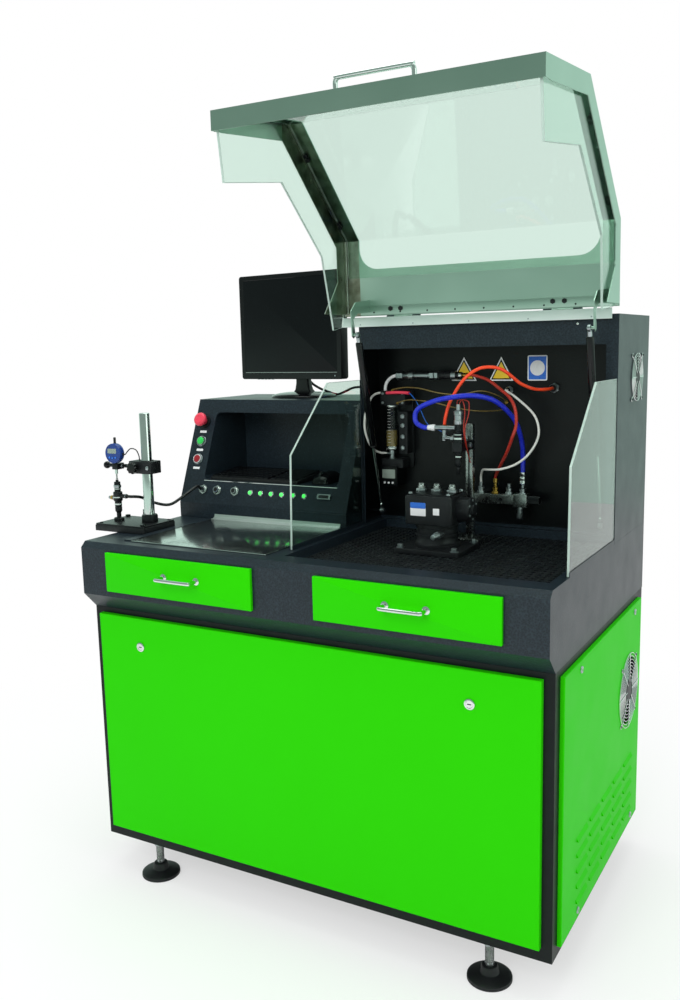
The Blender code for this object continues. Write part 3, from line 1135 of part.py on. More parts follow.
def hoses():
    """Free stretches of the hoses and of the injector's lead, exit to exit."""
    socket = []
    for out in (0.0123, 0.0200, 0.0340):
        depth = slope_y(0.982) - out * math.cos(SLOPE)
        socket.append((-1.144, depth, 0.982 + out * math.sin(SLOPE)))
    routes = {
        "orange_hose": (0.0040, "orange", [
            (-0.396, 0.411, 1.1703), (-0.396, 0.411, 1.1820), (-0.392, 0.411, 1.205),
            (-0.380, 0.412, 1.240), (-0.349, 0.417, 1.289), (-0.318, 0.428, 1.314),
            (-0.290, 0.442, 1.319), (-0.266, 0.458, 1.312), (-0.248, 0.475, 1.295),
            (-0.232, 0.495, 1.277), (-0.208, 0.522, 1.263), (-0.186, 0.548, 1.261),
            (-0.180, 0.566, 1.262), (-0.180, 0.5777, 1.262)]),
        "red_hose": (0.0040, "red", [
            (-0.4077, 0.560, 1.296), (-0.396, 0.560, 1.296), (-0.375, 0.556, 1.295),
            (-0.335, 0.545, 1.284), (-0.298, 0.525, 1.264), (-0.262, 0.500, 1.243),
            (-0.238, 0.472, 1.216), (-0.232, 0.462, 1.180), (-0.241, 0.462, 1.151),
            (-0.262, 0.480, 1.110), (-0.292, 0.518, 1.072), (-0.313, 0.545, 1.046),
            (-0.317, 0.551, 1.034), (-0.317, 0.551, 1.0243)]),
        "blue_hose": (0.0060, "blue", [
            (-0.4303, 0.389, 1.176), (-0.442, 0.389, 1.176), (-0.462, 0.387, 1.190),
            (-0.455, 0.382, 1.219), (-0.410, 0.374, 1.240), (-0.357, 0.376, 1.251),
            (-0.318, 0.400, 1.253), (-0.286, 0.435, 1.243), (-0.264, 0.468, 1.220),
            (-0.249, 0.500, 1.188), (-0.244, 0.525, 1.153), (-0.243, 0.542, 1.118),
            (-0.244, 0.549, 1.086), (-0.245, 0.551, 1.045), (-0.245, 0.551, 1.0243)]),
        "white_hose_right": (0.0030, "white", [
            (-0.296, 0.5777, 1.257), (-0.296, 0.566, 1.257), (-0.262, 0.548, 1.240),
            (-0.215, 0.540, 1.201), (-0.198, 0.530, 1.165), (-0.201, 0.522, 1.134),
            (-0.221, 0.515, 1.101), (-0.250, 0.506, 1.078), (-0.285, 0.500, 1.066),
            (-0.320, 0.512, 1.062), (-0.346, 0.538, 1.057), (-0.356, 0.551, 1.040),
            (-0.356, 0.551, 1.0243)]),
        "white_hose_left": (0.0030, "white", [
            (-0.6423, 0.562, 1.250), (-0.6510, 0.562, 1.250), (-0.6590, 0.552, 1.247),
            (-0.6580, 0.530, 1.240), (-0.6530, 0.506, 1.228), (-0.6530, 0.486, 1.201),
            (-0.6550, 0.482, 1.176), (-0.6540, 0.484, 1.151), (-0.6520, 0.497, 1.124),
            (-0.6530, 0.520, 1.106), (-0.6540, 0.544, 1.094), (-0.6460, 0.5585, 1.0885),
            (-0.6380, 0.5585, 1.0885), (-0.6280, 0.5585, 1.0885)]),
        "console_lead": (0.0040, "black", [
            *socket, (-1.152, 0.3350, 0.975), (-1.172, 0.2950, 0.955),
            (-1.196, 0.2550, 0.966), (-1.204, 0.2200, 0.984), (-1.2070, 0.1940, 0.990),
            (-1.2140, 0.1900, 0.990), (-1.2200, 0.1900, 0.990), (-1.2277, 0.1900, 0.990)]),
    }
    for name, (radius, colour, route) in routes.items():
        ob = tube(name, smooth_route(route, max(radius * 5.0, 0.016)), radius)
        paint(ob, colour, 0.4)


base_frame()
feet()
front_panel()
locks()
side_panel("side_panel_right", 1, 0.0, True)
side_panel("side_panel_left", -1, LEFT, False)
back_panel()
fan("lower", LOWER_FAN, 0.010 + GAP, 0.096, 0.086)
fan("upper", UPPER_FAN, GAP, 0.0587, 0.052)
counter_body()
worktop_plate()
drain_mat()
drawers()
rear_housing()
hood()
struts()
guards()
console()
keyboard_and_mouse()
monitor()
gauge()
drive()
chamber_equipment()
hoses()

for item in bpy.data.objects:
    if item.parent is None:
        item.location.x -= MIDDLE_X
        item.location.y -= MIDDLE_Y
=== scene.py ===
"""Looks of the injector test bench: steel cabinet, hooded test chamber, console and gauge stand."""
import math

import bpy
import numpy as np
from bpy.props import FloatProperty, FloatVectorProperty, IntProperty, PointerProperty
from mathutils import Matrix, Vector


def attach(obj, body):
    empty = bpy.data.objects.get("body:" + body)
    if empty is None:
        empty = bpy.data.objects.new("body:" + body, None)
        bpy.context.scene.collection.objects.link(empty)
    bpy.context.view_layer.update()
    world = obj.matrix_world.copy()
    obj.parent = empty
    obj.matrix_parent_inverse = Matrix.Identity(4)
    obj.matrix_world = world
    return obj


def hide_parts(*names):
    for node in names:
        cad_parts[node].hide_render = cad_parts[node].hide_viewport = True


bl_info = {
    "name": "Injector test bench",
    "version": (1, 0, 0),
    "blender": (4, 5, 0),
    "location": "View3D > Sidebar > Test bench",
    "description": "Dresses the packed injector test bench with its detailed pieces and finishes",
    "category": "Object",
}

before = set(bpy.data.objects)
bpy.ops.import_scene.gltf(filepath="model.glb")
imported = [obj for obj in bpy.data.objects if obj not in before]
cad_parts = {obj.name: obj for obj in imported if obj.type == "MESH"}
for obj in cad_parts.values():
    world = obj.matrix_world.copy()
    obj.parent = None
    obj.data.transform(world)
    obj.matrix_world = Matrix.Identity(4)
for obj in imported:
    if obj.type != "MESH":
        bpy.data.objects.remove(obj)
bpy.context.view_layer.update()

# Lengths are metres, measured from the cabinet's front right floor corner: X to the right,
# so the cabinet is at negative x, Y to the back, Z up. SHIFT carries them to the model's frame.
SHIFT = np.array((0.6527, -0.3736, 0.0))
CONSOLE_FOOT = (0.4, 0.945)
CONSOLE_BROW = (0.515, 1.232)
SLOPE = math.atan2(CONSOLE_BROW[0] - CONSOLE_FOOT[0], CONSOLE_BROW[1] - CONSOLE_FOOT[1])
BUTTON_X = -1.185
HINGE = (0.488, 1.447)
HOOD_ANGLE = math.radians(-88.0)
HOOD_X = (-0.712, -0.0005)
HOOD_OUTLINE = np.array([(-0.435, -0.533), (-0.4505, -0.251), (-0.196, 0.006), (-0.0045, 0.006)])
MONITOR_AT = (-0.955, 0.665)
MONITOR_TURN = math.radians(-7.0)
COLUMN_AT = (-1.171, 0.21)
GAUGE_AT = (-1.262, 0.19)
DRIVE_AT = (-0.395, 0.36)
LOCKS = ((-1.062, 0.639), (-0.176, 0.639))
SCREEN_AXIS = (0.003, 1.44)
# Heights of the buttons, the lamps and the sockets on the console.
STOP_Z, START_Z, HALT_Z = 1.168, 1.114, 1.064
LAMP_Z, SOCKET_Z = 0.981, 0.982
# Parts in the chamber stand just above the mat and end just short of the back wall.
MAT_TOP = 0.8806
WALL = 0.5997
# Directions, and the four ways out from a middle.
FRONT, RIGHT, UP = (0, -1, 0), (1, 0, 0), (0, 0, 1)
CORNERS = ((-1, -1), (1, -1), (-1, 1), (1, 1))
FINISHES = {}


# Shapes


def mm(*values):
    """Outline or profile of pairs, given in millimetres."""
    return np.array(values, float).reshape(-1, 2) / 1000


def put(parts, look, *shapes):
    """Adds shapes of one finish to a piece's parts."""
    parts.extend((shape, look) for shape in shapes)


def carried(parts, place):
    """A piece's parts, each shape set in place."""
    return [(place(shape), look) for shape, look in parts]


def quads(rows, columns, close_rows=False, close_columns=False):
    """Faces of a grid of rows by columns points, wrapped round where closed."""
    i = np.arange(rows if close_rows else rows - 1)[:, None]
    j = np.arange(columns if close_columns else columns - 1)[None, :]
    after_i, after_j = (i + 1) % rows, (j + 1) % columns
    corners = (i * columns + j, after_i * columns + j, after_i * columns + after_j)
    corners += (i * columns + after_j,)
    return np.stack(np.broadcast_arrays(*corners), -1).reshape(-1, 4).tolist()


def outward(points, faces):
    """The same closed shape with its faces turned out, judged by its signed volume."""
    points = np.asarray(points, float)
    volume = 0.0
    by_size = {}
    for face in faces:
        by_size.setdefault(len(face), []).append(face)
    for size, group in by_size.items():
        corners = points[np.array(group)] - points[0]
        for k in range(1, size - 1):
            cross = np.cross(corners[:, k], corners[:, k + 1])
            volume += float((corners[:, 0] * cross).sum())
    if volume < 0:
        faces = [face[::-1] for face in faces]
    return points, faces


def rings(stack, caps=True):
    """Closed skin over a stack of rings (rings, points, 3), ended by a flat face each side."""
    stack = np.asarray(stack, float)
    count, size = stack.shape[:2]
    faces = quads(count, size, False, True)
    if caps:
        faces.append(list(range(size)))
        faces.append([(count - 1) * size + k for k in range(size)][::-1])
    return outward(stack.reshape(-1, 3), faces)


def lay(points, axis):
    """Points (u, v, w) turned so that w runs along the axis: u, v are y z, x z or x y."""
    u, v, w = points[..., 0], points[..., 1], points[..., 2]
    if axis == "X":
        return np.stack((w, u, v), -1)
    if axis == "Y":
        return np.stack((u, w, v), -1)
    return np.stack((u, v, w), -1)


def turned(profile, centre=(0, 0, 0), axis="Z", steps=40):
    """Profile (radius, height) spun about the axis: x = r cos t, y = r sin t, poles closed."""
    profile = np.asarray(profile, float)
    angle = np.linspace(0, 2 * np.pi, steps, endpoint=False)
    body = profile[profile[:, 0] > 1e-9]
    around = np.stack((np.cos(angle), np.sin(angle)), -1)
    ring = body[:, None, :1] * around[None]
    height = np.broadcast_to(body[:, None, 1:], (len(body), steps, 1))
    points = np.concatenate((ring, height), -1).reshape(-1, 3)
    faces = quads(len(body), steps, False, True)
    for end, first in ((0, 0), (-1, (len(body) - 1) * steps)):
        if profile[end, 0] <= 1e-9:
            points = np.vstack((points, (0.0, 0.0, profile[end, 1])))
            pole = len(points) - 1
            fan = [[pole, first + k, first + (k + 1) % steps] for k in range(steps)]
            faces += fan if end == 0 else [face[::-1] for face in fan]
    points, faces = outward(points, faces)
    return lay(points, axis) + np.asarray(centre, float), faces


def hoop(profile, centre=(0, 0, 0), axis="Z", steps=48):
    """A closed profile (radius, height) spun into a ring."""
    profile = np.asarray(profile, float)
    angle = np.linspace(0, 2 * np.pi, steps, endpoint=False)[:, None]
    u = profile[None, :, 0] * np.cos(angle)
    v = profile[None, :, 0] * np.sin(angle)
    w = np.broadcast_to(profile[None, :, 1], u.shape)
    points = np.stack((u, v, w), -1).reshape(-1, 3)
    points, faces = outward(points, quads(steps, len(profile), True, True))
    return lay(points, axis) + np.asarray(centre, float), faces


def wire_ring(radius, wire, centre, axis="X", steps=64, sides=8):
    """Round wire bent to a circle."""
    turn = np.linspace(0, 2 * np.pi, sides, endpoint=False)
    profile = np.stack((radius + wire * np.cos(turn), wire * np.sin(turn)), -1)
    return hoop(profile, centre, axis, steps)


def walk_along(path):
    """Distance of each point from the first, along a path."""
    return np.concatenate(((0,), np.linalg.norm(np.diff(path, axis=0), axis=1).cumsum()))


def smooth_path(route, count):
    """Evenly spaced points on the Catmull-Rom curve through the route points."""
    line = np.asarray(route, float)
    ends = np.vstack((2 * line[0] - line[1], line, 2 * line[-1] - line[-2]))
    t = (np.arange(24) / 24)[None, :, None]
    a, b, c, d = (ends[k : len(ends) - 3 + k][:, None] for k in range(4))
    cubic = (3 * b - a - 3 * c + d) * t**3 + (2 * a - 5 * b + 4 * c - d) * t**2
    dense = np.vstack((((2 * b + (c - a) * t + cubic) / 2).reshape(-1, 3), line[-1]))
    walked = walk_along(dense)
    marks = np.linspace(0, walked[-1], count)
    return np.stack([np.interp(marks, walked, dense[:, k]) for k in range(3)], -1)


def tube(path, radius, sides=12):
    """Round section carried along a path; each ring's frame is the last one's, untwisted."""
    path = np.asarray(path, float)
    tangent = np.gradient(path, axis=0)
    tangent /= np.linalg.norm(tangent, axis=1)[:, None]
    side = np.cross(tangent[0], (0.0, 0.0, 1.0))
    if np.linalg.norm(side) < 0.1:
        side = np.cross(tangent[0], (1.0, 0.0, 0.0))
    frames = []
    for step in tangent:
        side = side - step * side.dot(step)
        side = side / np.linalg.norm(side)
        frames.append((side, np.cross(step, side)))
    frames = np.array(frames)
    angle = np.linspace(0, 2 * np.pi, sides, endpoint=False)
    radius = np.broadcast_to(np.asarray(radius, float), (len(path),))[:, None, None]
    around = np.cos(angle)[None, :, None] * frames[:, None, 0]
    around = around + np.sin(angle)[None, :, None] * frames[:, None, 1]
    return rings(path[:, None] + radius * around)


def inset(outline, amount):
    """Closed outline moved inwards by the amount, corners mitred."""
    outline = np.asarray(outline, float)
    before, after = np.roll(outline, 1, axis=0), np.roll(outline, -1, axis=0)
    area = (outline[:, 0] * after[:, 1] - after[:, 0] * outline[:, 1]).sum()
    sign = 1.0 if area > 0 else -1.0
    edges = []
    for a, b in ((before, outline), (outline, after)):
        run = b - a
        run = run / np.maximum(np.linalg.norm(run, axis=1), 1e-12)[:, None]
        edges.append(np.stack((-run[:, 1], run[:, 0]), -1) * sign)
    scale = amount / np.maximum(1 + (edges[0] * edges[1]).sum(1), 0.2)
    return outline + (edges[0] + edges[1]) * scale[:, None]


def slab(outline, low, high, bevel=0.0008, axis="Z", steps=3):
    """Flat outline run from low to high along the axis, its rims rounded by a quarter arc."""
    arc = np.linspace(0, np.pi / 2, steps + 1)
    rise = bevel * (1 - np.cos(arc))
    draw = bevel * (1 - np.sin(arc))
    levels = [(low + r, d) for r, d in zip(rise, draw)]
    levels += [(high - r, d) for r, d in zip(rise[::-1], draw[::-1])]
    stack = [np.column_stack((inset(outline, d), np.full(len(outline), level))) for level, d in levels]
    points, faces = rings(np.array(stack))
    return outward(lay(points, axis), faces)


def round_rect(u, v, radius, steps=6):
    """Rectangle with quarter-circle corners, counter-clockwise."""
    if radius <= 0:
        return np.array([(u[0], v[0]), (u[1], v[0]), (u[1], v[1]), (u[0], v[1])], float)
    arc = np.linspace(0, np.pi / 2, steps + 1)
    parts = []
    corners = ((u[1], v[1], 0), (u[0], v[1], 1), (u[0], v[0], 2), (u[1], v[0], 3))
    for cu, cv, turn in corners:
        mu = cu - radius if turn in (0, 3) else cu + radius
        mv = cv - radius if turn in (0, 1) else cv + radius
        angle = arc + turn * np.pi / 2
        parts.append(np.stack((mu + radius * np.cos(angle), mv + radius * np.sin(angle)), -1))
    return np.vstack(parts)


def block(x, y, z, corner=0.0, bevel=0.0008, axis="Z"):
    """Box between two values per axis, with rounded upright corners and rims."""
    x, y, z = sorted(x), sorted(y), sorted(z)
    if axis == "X":
        return slab(round_rect(y, z, corner), x[0], x[1], bevel, "X")
    if axis == "Y":
        return slab(round_rect(x, z, corner), y[0], y[1], bevel, "Y")
    return slab(round_rect(x, y, corner), z[0], z[1], bevel, "Z")


def bar(centre, radius, span, axis="Z", bevel=0.0006, steps=32):
    """Round bar along an axis between two values, its rims broken."""
    low, high = sorted(span)
    profile = [(0, high), (radius - bevel, high), (radius, high - bevel), (radius, low + bevel),
               (radius - bevel, low), (0, low)]
    a, b = centre
    place = {"X": (0, a, b), "Y": (a, 0, b), "Z": (a, b, 0)}[axis]
    return turned(profile, place, axis, steps)


def hexagon(centre, across, span, axis="Z", bevel=0.0006):
    """Hexagon nut or head, given across its flats."""
    angle = np.radians(np.arange(6) * 60 + 30)
    outline = np.stack((np.cos(angle), np.sin(angle)), -1) * across / math.sqrt(3)
    return slab(outline + np.asarray(centre, float), min(span), max(span), bevel, axis, 2)


def moved(shape, matrix):
    """Shape under a 4 by 4 matrix, given in the cabinet's frame."""
    points, faces = shape
    matrix = np.array(matrix)
    return points @ matrix[:3, :3].T + matrix[:3, 3], faces


def on_slope(shape, x, z):
    """Shape drawn about the Z axis set on the console's sloping front, Z pointing out of it."""
    y = CONSOLE_FOOT[0] + (z - CONSOLE_FOOT[1]) * math.tan(SLOPE)
    tilt = Matrix.Rotation(math.radians(90.0) - SLOPE, 4, "X")
    return moved(shape, Matrix.Translation((x, y, z)) @ tilt)


def in_hood(shape):
    """Shape drawn with the hood closed, from its hinge line, tipped to the open hood."""
    tip = Matrix.Rotation(HOOD_ANGLE, 4, "X")
    return moved(shape, Matrix.Translation((0.0, HINGE[0], HINGE[1])) @ tip)


def by_monitor(shape):
    """Shape drawn about the monitor stand's upright line, turned with the screen."""
    turn = Matrix.Rotation(MONITOR_TURN, 4, "Z")
    return moved(shape, Matrix.Translation((MONITOR_AT[0], MONITOR_AT[1], 0.0)) @ turn)


def piece(name, body, parts, replaces=(), angle=40.0):
    """One object of (shape, finish) parts, riding on a body."""
    points, faces, marks, used = [], [], [], []
    start = 0
    for (part_points, part_faces), finish in parts:
        if finish not in used:
            used.append(finish)
        points.append(np.asarray(part_points, float))
        faces += [[index + start for index in face] for face in part_faces]
        marks += [used.index(finish)] * len(part_faces)
        start += len(part_points)
    mesh = bpy.data.meshes.new(name)
    mesh.from_pydata((np.vstack(points) + SHIFT).tolist(), [], faces)
    mesh.polygons.foreach_set("material_index", marks)
    mesh.polygons.foreach_set("use_smooth", [True] * len(faces))
    for finish in used:
        mesh.materials.append(FINISHES[finish])
    mesh.update()
    mesh.set_sharp_from_angle(angle=math.radians(angle))
    ob = bpy.data.objects.new(name, mesh)
    bpy.context.scene.collection.objects.link(ob)
    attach(ob, body)
    if replaces:
        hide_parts(*replaces)
    return ob


def opened(outer, inner, low, high, axis="Z", bevel=0.0006):
    """Plate between two outlines of equally many points, both rims broken by the bevel."""
    levels = [(outer, bevel, high), (outer, 0, high - bevel), (outer, 0, low + bevel),
              (outer, bevel, low), (inner, -bevel, low), (inner, 0, low + bevel),
              (inner, 0, high - bevel), (inner, -bevel, high)]
    stack = [np.column_stack((inset(o, d), np.full(len(o), h))) for o, d, h in levels]
    points, faces = outward(np.vstack(stack), quads(len(stack), len(outer), True, True))
    return outward(lay(points, axis), faces)


def aimed(shape, place, direction):
    """Shape drawn about the Z axis, carried to a place with Z along the direction."""
    turn = Vector(direction).to_track_quat("Z", "Y").to_matrix().to_4x4()
    return moved(shape, Matrix.Translation(place) @ turn)


def lathe(profile, place, direction=(0, 0, 1), steps=32):
    """Turned profile (radius, height) standing on a place along a direction."""
    return aimed(turned(profile, steps=steps), place, direction)


def rod(start, end, radius, steps=20, bevel=0.0004):
    """Round bar from one point to another, its rims broken."""
    length = float(np.linalg.norm(np.subtract(end, start)))
    profile = [(0, 0), (radius - bevel, 0), (radius, bevel), (radius, length - bevel),
               (radius - bevel, length), (0, length)]
    return lathe(profile, start, tuple(np.subtract(end, start)), steps)


def fluted(profile, place, direction=(0, 0, 1), lobes=16, depth=0.05, steps=96):
    """Turned profile whose radius swings by the depth along each lobe: r (1 + d cos n t)."""
    points, faces = turned(profile, steps=steps)
    angle = np.arctan2(points[:, 1], points[:, 0])
    swell = 1 + depth * (np.cos(lobes * angle) - 1) / 2
    points = points * np.stack((swell, swell, np.ones_like(swell)), -1)
    return aimed((points, faces), place, direction)


def screw(place, direction, radius=0.004, height=0.0026):
    """Domed screw head with a six-sided recess sunk in its crown."""
    angle = np.arange(24) * np.pi / 12
    six = 0.5 * radius / np.cos((angle + np.pi / 6) % (np.pi / 3) - np.pi / 6)
    round_ = np.full(24, radius)
    levels = [(round_, 0.0), (round_, 0.5), (round_ * 0.94, 0.82), (round_ * 0.8, 1.0), (six, 1.0),
              (six * 0.96, 0.35)]
    stack = [
        np.stack((r * np.cos(angle), r * np.sin(angle), np.full(24, height * h)), -1)
        for r, h in levels
    ]
    return aimed(rings(stack), place, direction)


def nut(place, direction, across, height, bevel=0.0006):
    """Hexagon nut or head standing on a place along a direction."""
    return aimed(hexagon((0, 0), across, (0, height), "Z", bevel), place, direction)


def band(place, low, high, radius):
    """Bright ring let on an upright body between two heights, its rims broken."""
    profile = [(radius - 0.001, low), (radius, low + 0.0004), (radius, high - 0.0004),
               (radius - 0.001, high)]
    return hoop(profile, (*place, 0), steps=40)


def blade(centre, reach, start, sweep, depth, thickness=0.0012):
    """Fan blade: the angle grows by the sweep while x climbs the depth in an arch."""
    r = np.linspace(reach[0], reach[1], 7)[:, None]
    t = np.linspace(0, 1, 9)[None, :]
    along = (r - reach[0]) / (reach[1] - reach[0])
    angle = start + sweep * (t - 0.5) * (1 - 0.25 * along) + 0.3 * along**1.5
    rise = depth[0] + (depth[1] - depth[0]) * (t + 0.1 * np.sin(np.pi * t))
    half = thickness / 2 * (1 - 0.7 * (2 * t - 1) ** 4)
    stack = []
    for side, order in ((1, slice(None)), (-1, slice(None, None, -1))):
        x = np.broadcast_to(rise + side * half, angle.shape)
        y, z = centre[0] + r * np.cos(angle), centre[1] + r * np.sin(angle)
        stack.append(np.stack((x, y, z), -1)[:, order])
    return rings(np.concatenate(stack, axis=1))


def key_caps(boxes, floor, height=0.0046, draw=0.0013):
    """Key caps: frustums on rectangles (x0, x1, y0, y1), drawn in and dished at the top."""
    boxes = np.asarray(boxes, float)
    corners = np.stack((boxes[:, [0, 2]], boxes[:, [1, 2]], boxes[:, [1, 3]], boxes[:, [0, 3]]), 1)
    inwards = np.sign(corners.mean(1, keepdims=True) - corners)
    levels = ((0.0, 0.0), (0.0, 0.35), (draw * 0.7, 0.9), (draw, 1.0), (draw + 0.0016, 0.9))
    stack = []
    for shift, rise in levels:
        flat = corners + inwards * shift
        stack.append(np.concatenate((flat, floor(flat[..., 1:]) + height * rise), -1))
    points = np.stack(stack, 1).reshape(len(boxes), -1, 3)
    size = points.shape[1]
    one = quads(len(levels), 4, False, True)
    one += [[0, 1, 2, 3], [size - 1, size - 2, size - 3, size - 4]]
    faces = np.array(one)[None] + (np.arange(len(boxes)) * size)[:, None, None]
    return outward(points.reshape(-1, 3), faces.reshape(-1, 4).tolist())


def mouse_shell(centre, half, height):
    """Mouse: cross-sections along Y are half ovals; width (1 - t^4)^0.4, height (1 - t^2.6)^0.5."""
    t = np.linspace(-0.992, 0.992, 29)[:, None]
    width = half[0] * (1 - np.abs(t) ** 4) ** 0.4 * (1 - 0.1 * np.exp(-((t / 0.35) ** 2)))
    crown = height * (1 - np.abs(t) ** 2.6) ** 0.5 * (0.9 + 0.1 * t)
    angle = np.linspace(0, np.pi, 25)[None, :]
    x = centre[0] + width * np.cos(angle)
    z = centre[2] + crown * np.sin(angle) ** 0.75
    y = np.broadcast_to(centre[1] + half[1] * t, x.shape)
    return rings(np.stack((x, y, z), -1))


def pierced_mat(x, y, z, columns, rows, hole, gap_at, gap):
    """Mat with round holes: each cell is a square ring round an eight-sided hole.

    The cells share their border points, and cells nearer to a place than the gap are left out.
    """
    pitch = ((x[1] - x[0]) / columns, (y[1] - y[0]) / rows)
    u = x[0] + pitch[0] / 2 * np.arange(2 * columns + 1)
    v = y[0] + pitch[1] / 2 * np.arange(2 * rows + 1)
    net = np.stack(np.meshgrid(u, v), -1).reshape(-1, 2)
    row, column = (axis.ravel() for axis in np.mgrid[0:rows, 0:columns])
    centre = np.stack((u[2 * column + 1], v[2 * row + 1]), -1)
    step = np.array([(1, 0), (1, 1), (0, 1), (-1, 1), (-1, 0), (-1, -1), (0, -1), (1, -1)])
    ring = (2 * row[:, None] + 1 + step[:, 1]) * len(u) + 2 * column[:, None] + 1 + step[:, 0]
    turn = np.arctan2(step[:, 1], step[:, 0])
    holes = centre[:, None] + hole * np.stack((np.cos(turn), np.sin(turn)), -1)
    flat = np.vstack((net, holes.reshape(-1, 2)))
    inner = len(net) + np.arange(len(row) * 8).reshape(-1, 8)
    kept = np.hypot(*(centre - gap_at).T) > gap
    ring, inner = ring[kept], inner[kept]
    ring_on, inner_on = np.roll(ring, -1, 1), np.roll(inner, -1, 1)
    count = len(flat)
    top = np.stack((ring, ring_on, inner_on, inner), -1).reshape(-1, 4)
    walls = np.stack((inner, inner_on, inner_on + count, inner + count), -1).reshape(-1, 4)
    edges = np.stack((ring, ring_on), -1).reshape(-1, 2)
    _, which, seen = np.unique(np.sort(edges, 1), axis=0, return_inverse=True, return_counts=True)
    rim = edges[seen[which.ravel()] == 1]
    rims = np.stack((rim[:, 1], rim[:, 0], rim[:, 0] + count, rim[:, 1] + count), -1)
    faces = np.vstack((top, top[:, ::-1] + count, walls, rims))
    used, faces = np.unique(faces, return_inverse=True)
    points = np.vstack((np.column_stack((flat, np.full(count, z[1]))),
                        np.column_stack((flat, np.full(count, z[0])))))
    return outward(points[used], faces.reshape(-1, 4).tolist())


def pane(outline, low, high, axis="X"):
    """Clear sheet and the frosted saw-cut edge round it."""
    rim = opened(outline, inset(outline, 0.0008), low, high, axis, 0.0002)
    sheet = slab(inset(outline, 0.0009), low, high, 0.0, axis, 1)
    return [(sheet, "clear_acrylic"), (rim, "acrylic_edge")]


def eased(path, radius, steps=5):
    """Open path with each corner replaced by a parabola that touches both its sides."""
    path = np.asarray(path, float)
    t = np.linspace(0, 1, steps + 1)[:, None]
    out = [path[:1]]
    for before, corner, after in zip(path[:-2], path[1:-1], path[2:]):
        first, second = before - corner, after - corner
        first, second = first / np.linalg.norm(first), second / np.linalg.norm(second)
        reach = radius * math.tan((math.pi - math.acos(float(first @ second))) / 2)
        start, end = corner + first * reach, corner + second * reach
        out.append((1 - t) ** 2 * start + 2 * t * (1 - t) * corner + t**2 * end)
    return np.vstack(out + [path[-1:]])


def bent_pane(near, away, low, high):
    """Clear sheet between two matching paths, run along X, and the edges round it."""
    count = len(near)
    points = np.array([(x, *spot) for x in (low, high) for spot in (*near, *away)])
    i = np.arange(count - 1)
    two, three = 2 * count, 3 * count
    sheet = np.vstack((np.stack((i, i + 1, i + 1 + two, i + two), -1),
                       np.stack((i + 1 + count, i + count, i + three, i + 1 + three), -1)))
    edges = np.vstack((np.stack((i, i + count, i + 1 + count, i + 1), -1),
                       np.stack((i + two, i + 1 + two, i + 1 + three, i + three), -1),
                       [(0, two, three, count), (count - 1, two - 1, two + two - 1, three - 1)]))
    _, faces = outward(points, np.vstack((sheet, edges)).tolist())
    return [((points, faces[: len(sheet)]), "clear_acrylic"),
            ((points, faces[len(sheet) :]), "acrylic_edge")]


# Finishes


def linear(code):
    """sRGB hex to linear RGBA."""
    values = [int(code[k : k + 2], 16) / 255 for k in (1, 3, 5)]
    values = [v / 12.92 if v <= 0.04045 else ((v + 0.055) / 1.055) ** 2.4 for v in values]
    return (*values, 1.0)


def add(tree, kind, values=None, links=None, **settings):
    """Adds a node, sets its sockets and settings, and links its inputs."""
    node = tree.nodes.new(kind)
    for key, value in settings.items():
        setattr(node, key, value)
    for key, value in (values or {}).items():
        node.inputs[key].default_value = value
    for key, source in (links or {}).items():
        tree.links.new(source, node.inputs[key])
    return node


def finish(name, colour, roughness, metallic=0.0, rough=None, shade=None, relief=None, **sockets):
    """Makes a finish and returns its node tree, shader and object coordinates.

    Noise may run over its roughness, its colour and its relief. Each is the noise's scale,
    with detail and stretch where needed, and then two values: the roughness's ends, two
    colours, or the relief's depth and strength.
    """
    material = bpy.data.materials.new(name)
    material.use_nodes = True
    tree = material.node_tree
    shader = tree.nodes["Principled BSDF"]
    shader.inputs["Base Color"].default_value = linear(colour)
    shader.inputs["Roughness"].default_value = roughness
    shader.inputs["Metallic"].default_value = metallic
    for key, value in sockets.items():
        shader.inputs[key.replace("_", " ")].default_value = value
    place = add(tree, "ShaderNodeTexCoord").outputs["Object"]
    for use, pattern in ((vary, rough), (tint, shade), (emboss, relief)):
        if pattern:
            use(tree, shader, noise(tree, place, *pattern[:-2]), *pattern[-2:])
    FINISHES[name] = material
    return tree, shader, place


def blend(tree, factor, first, second):
    """Mix of two colours by a factor, each a hex code or another node's output."""
    node = add(tree, "ShaderNodeMix", {}, {"Factor": factor}, data_type="RGBA")
    for key, colour in (("A", first), ("B", second)):
        if isinstance(colour, str):
            node.inputs[key].default_value = linear(colour)
        else:
            tree.links.new(colour, node.inputs[key])
    return node.outputs["Result"]


def vary(tree, shader, pattern, low, high):
    """Spreads the roughness between low and high by a pattern."""
    tree.links.new(ranged(tree, pattern, 0.0, 1.0, low, high), shader.inputs["Roughness"])


def tint(tree, shader, pattern, first, second):
    """Blends the base colour between two colours by a pattern."""
    tree.links.new(blend(tree, pattern, first, second), shader.inputs["Base Color"])


def emboss(tree, shader, pattern, depth, strength):
    """Bump of a real depth in metres."""
    bump = add(tree, "ShaderNodeBump", {"Strength": strength, "Distance": depth}, {"Height": pattern})
    tree.links.new(bump.outputs["Normal"], shader.inputs["Normal"])


def noise(tree, place, scale, detail=2.0, stretch=None):
    """Noise pattern of a scale per metre, drawn out along an axis where stretched."""
    if stretch:
        drawn = add(tree, "ShaderNodeMapping", {"Scale": stretch}, {"Vector": place})
        place = drawn.outputs["Vector"]
    node = add(tree, "ShaderNodeTexNoise", {"Scale": scale, "Detail": detail}, {"Vector": place})
    return node.outputs["Fac"]


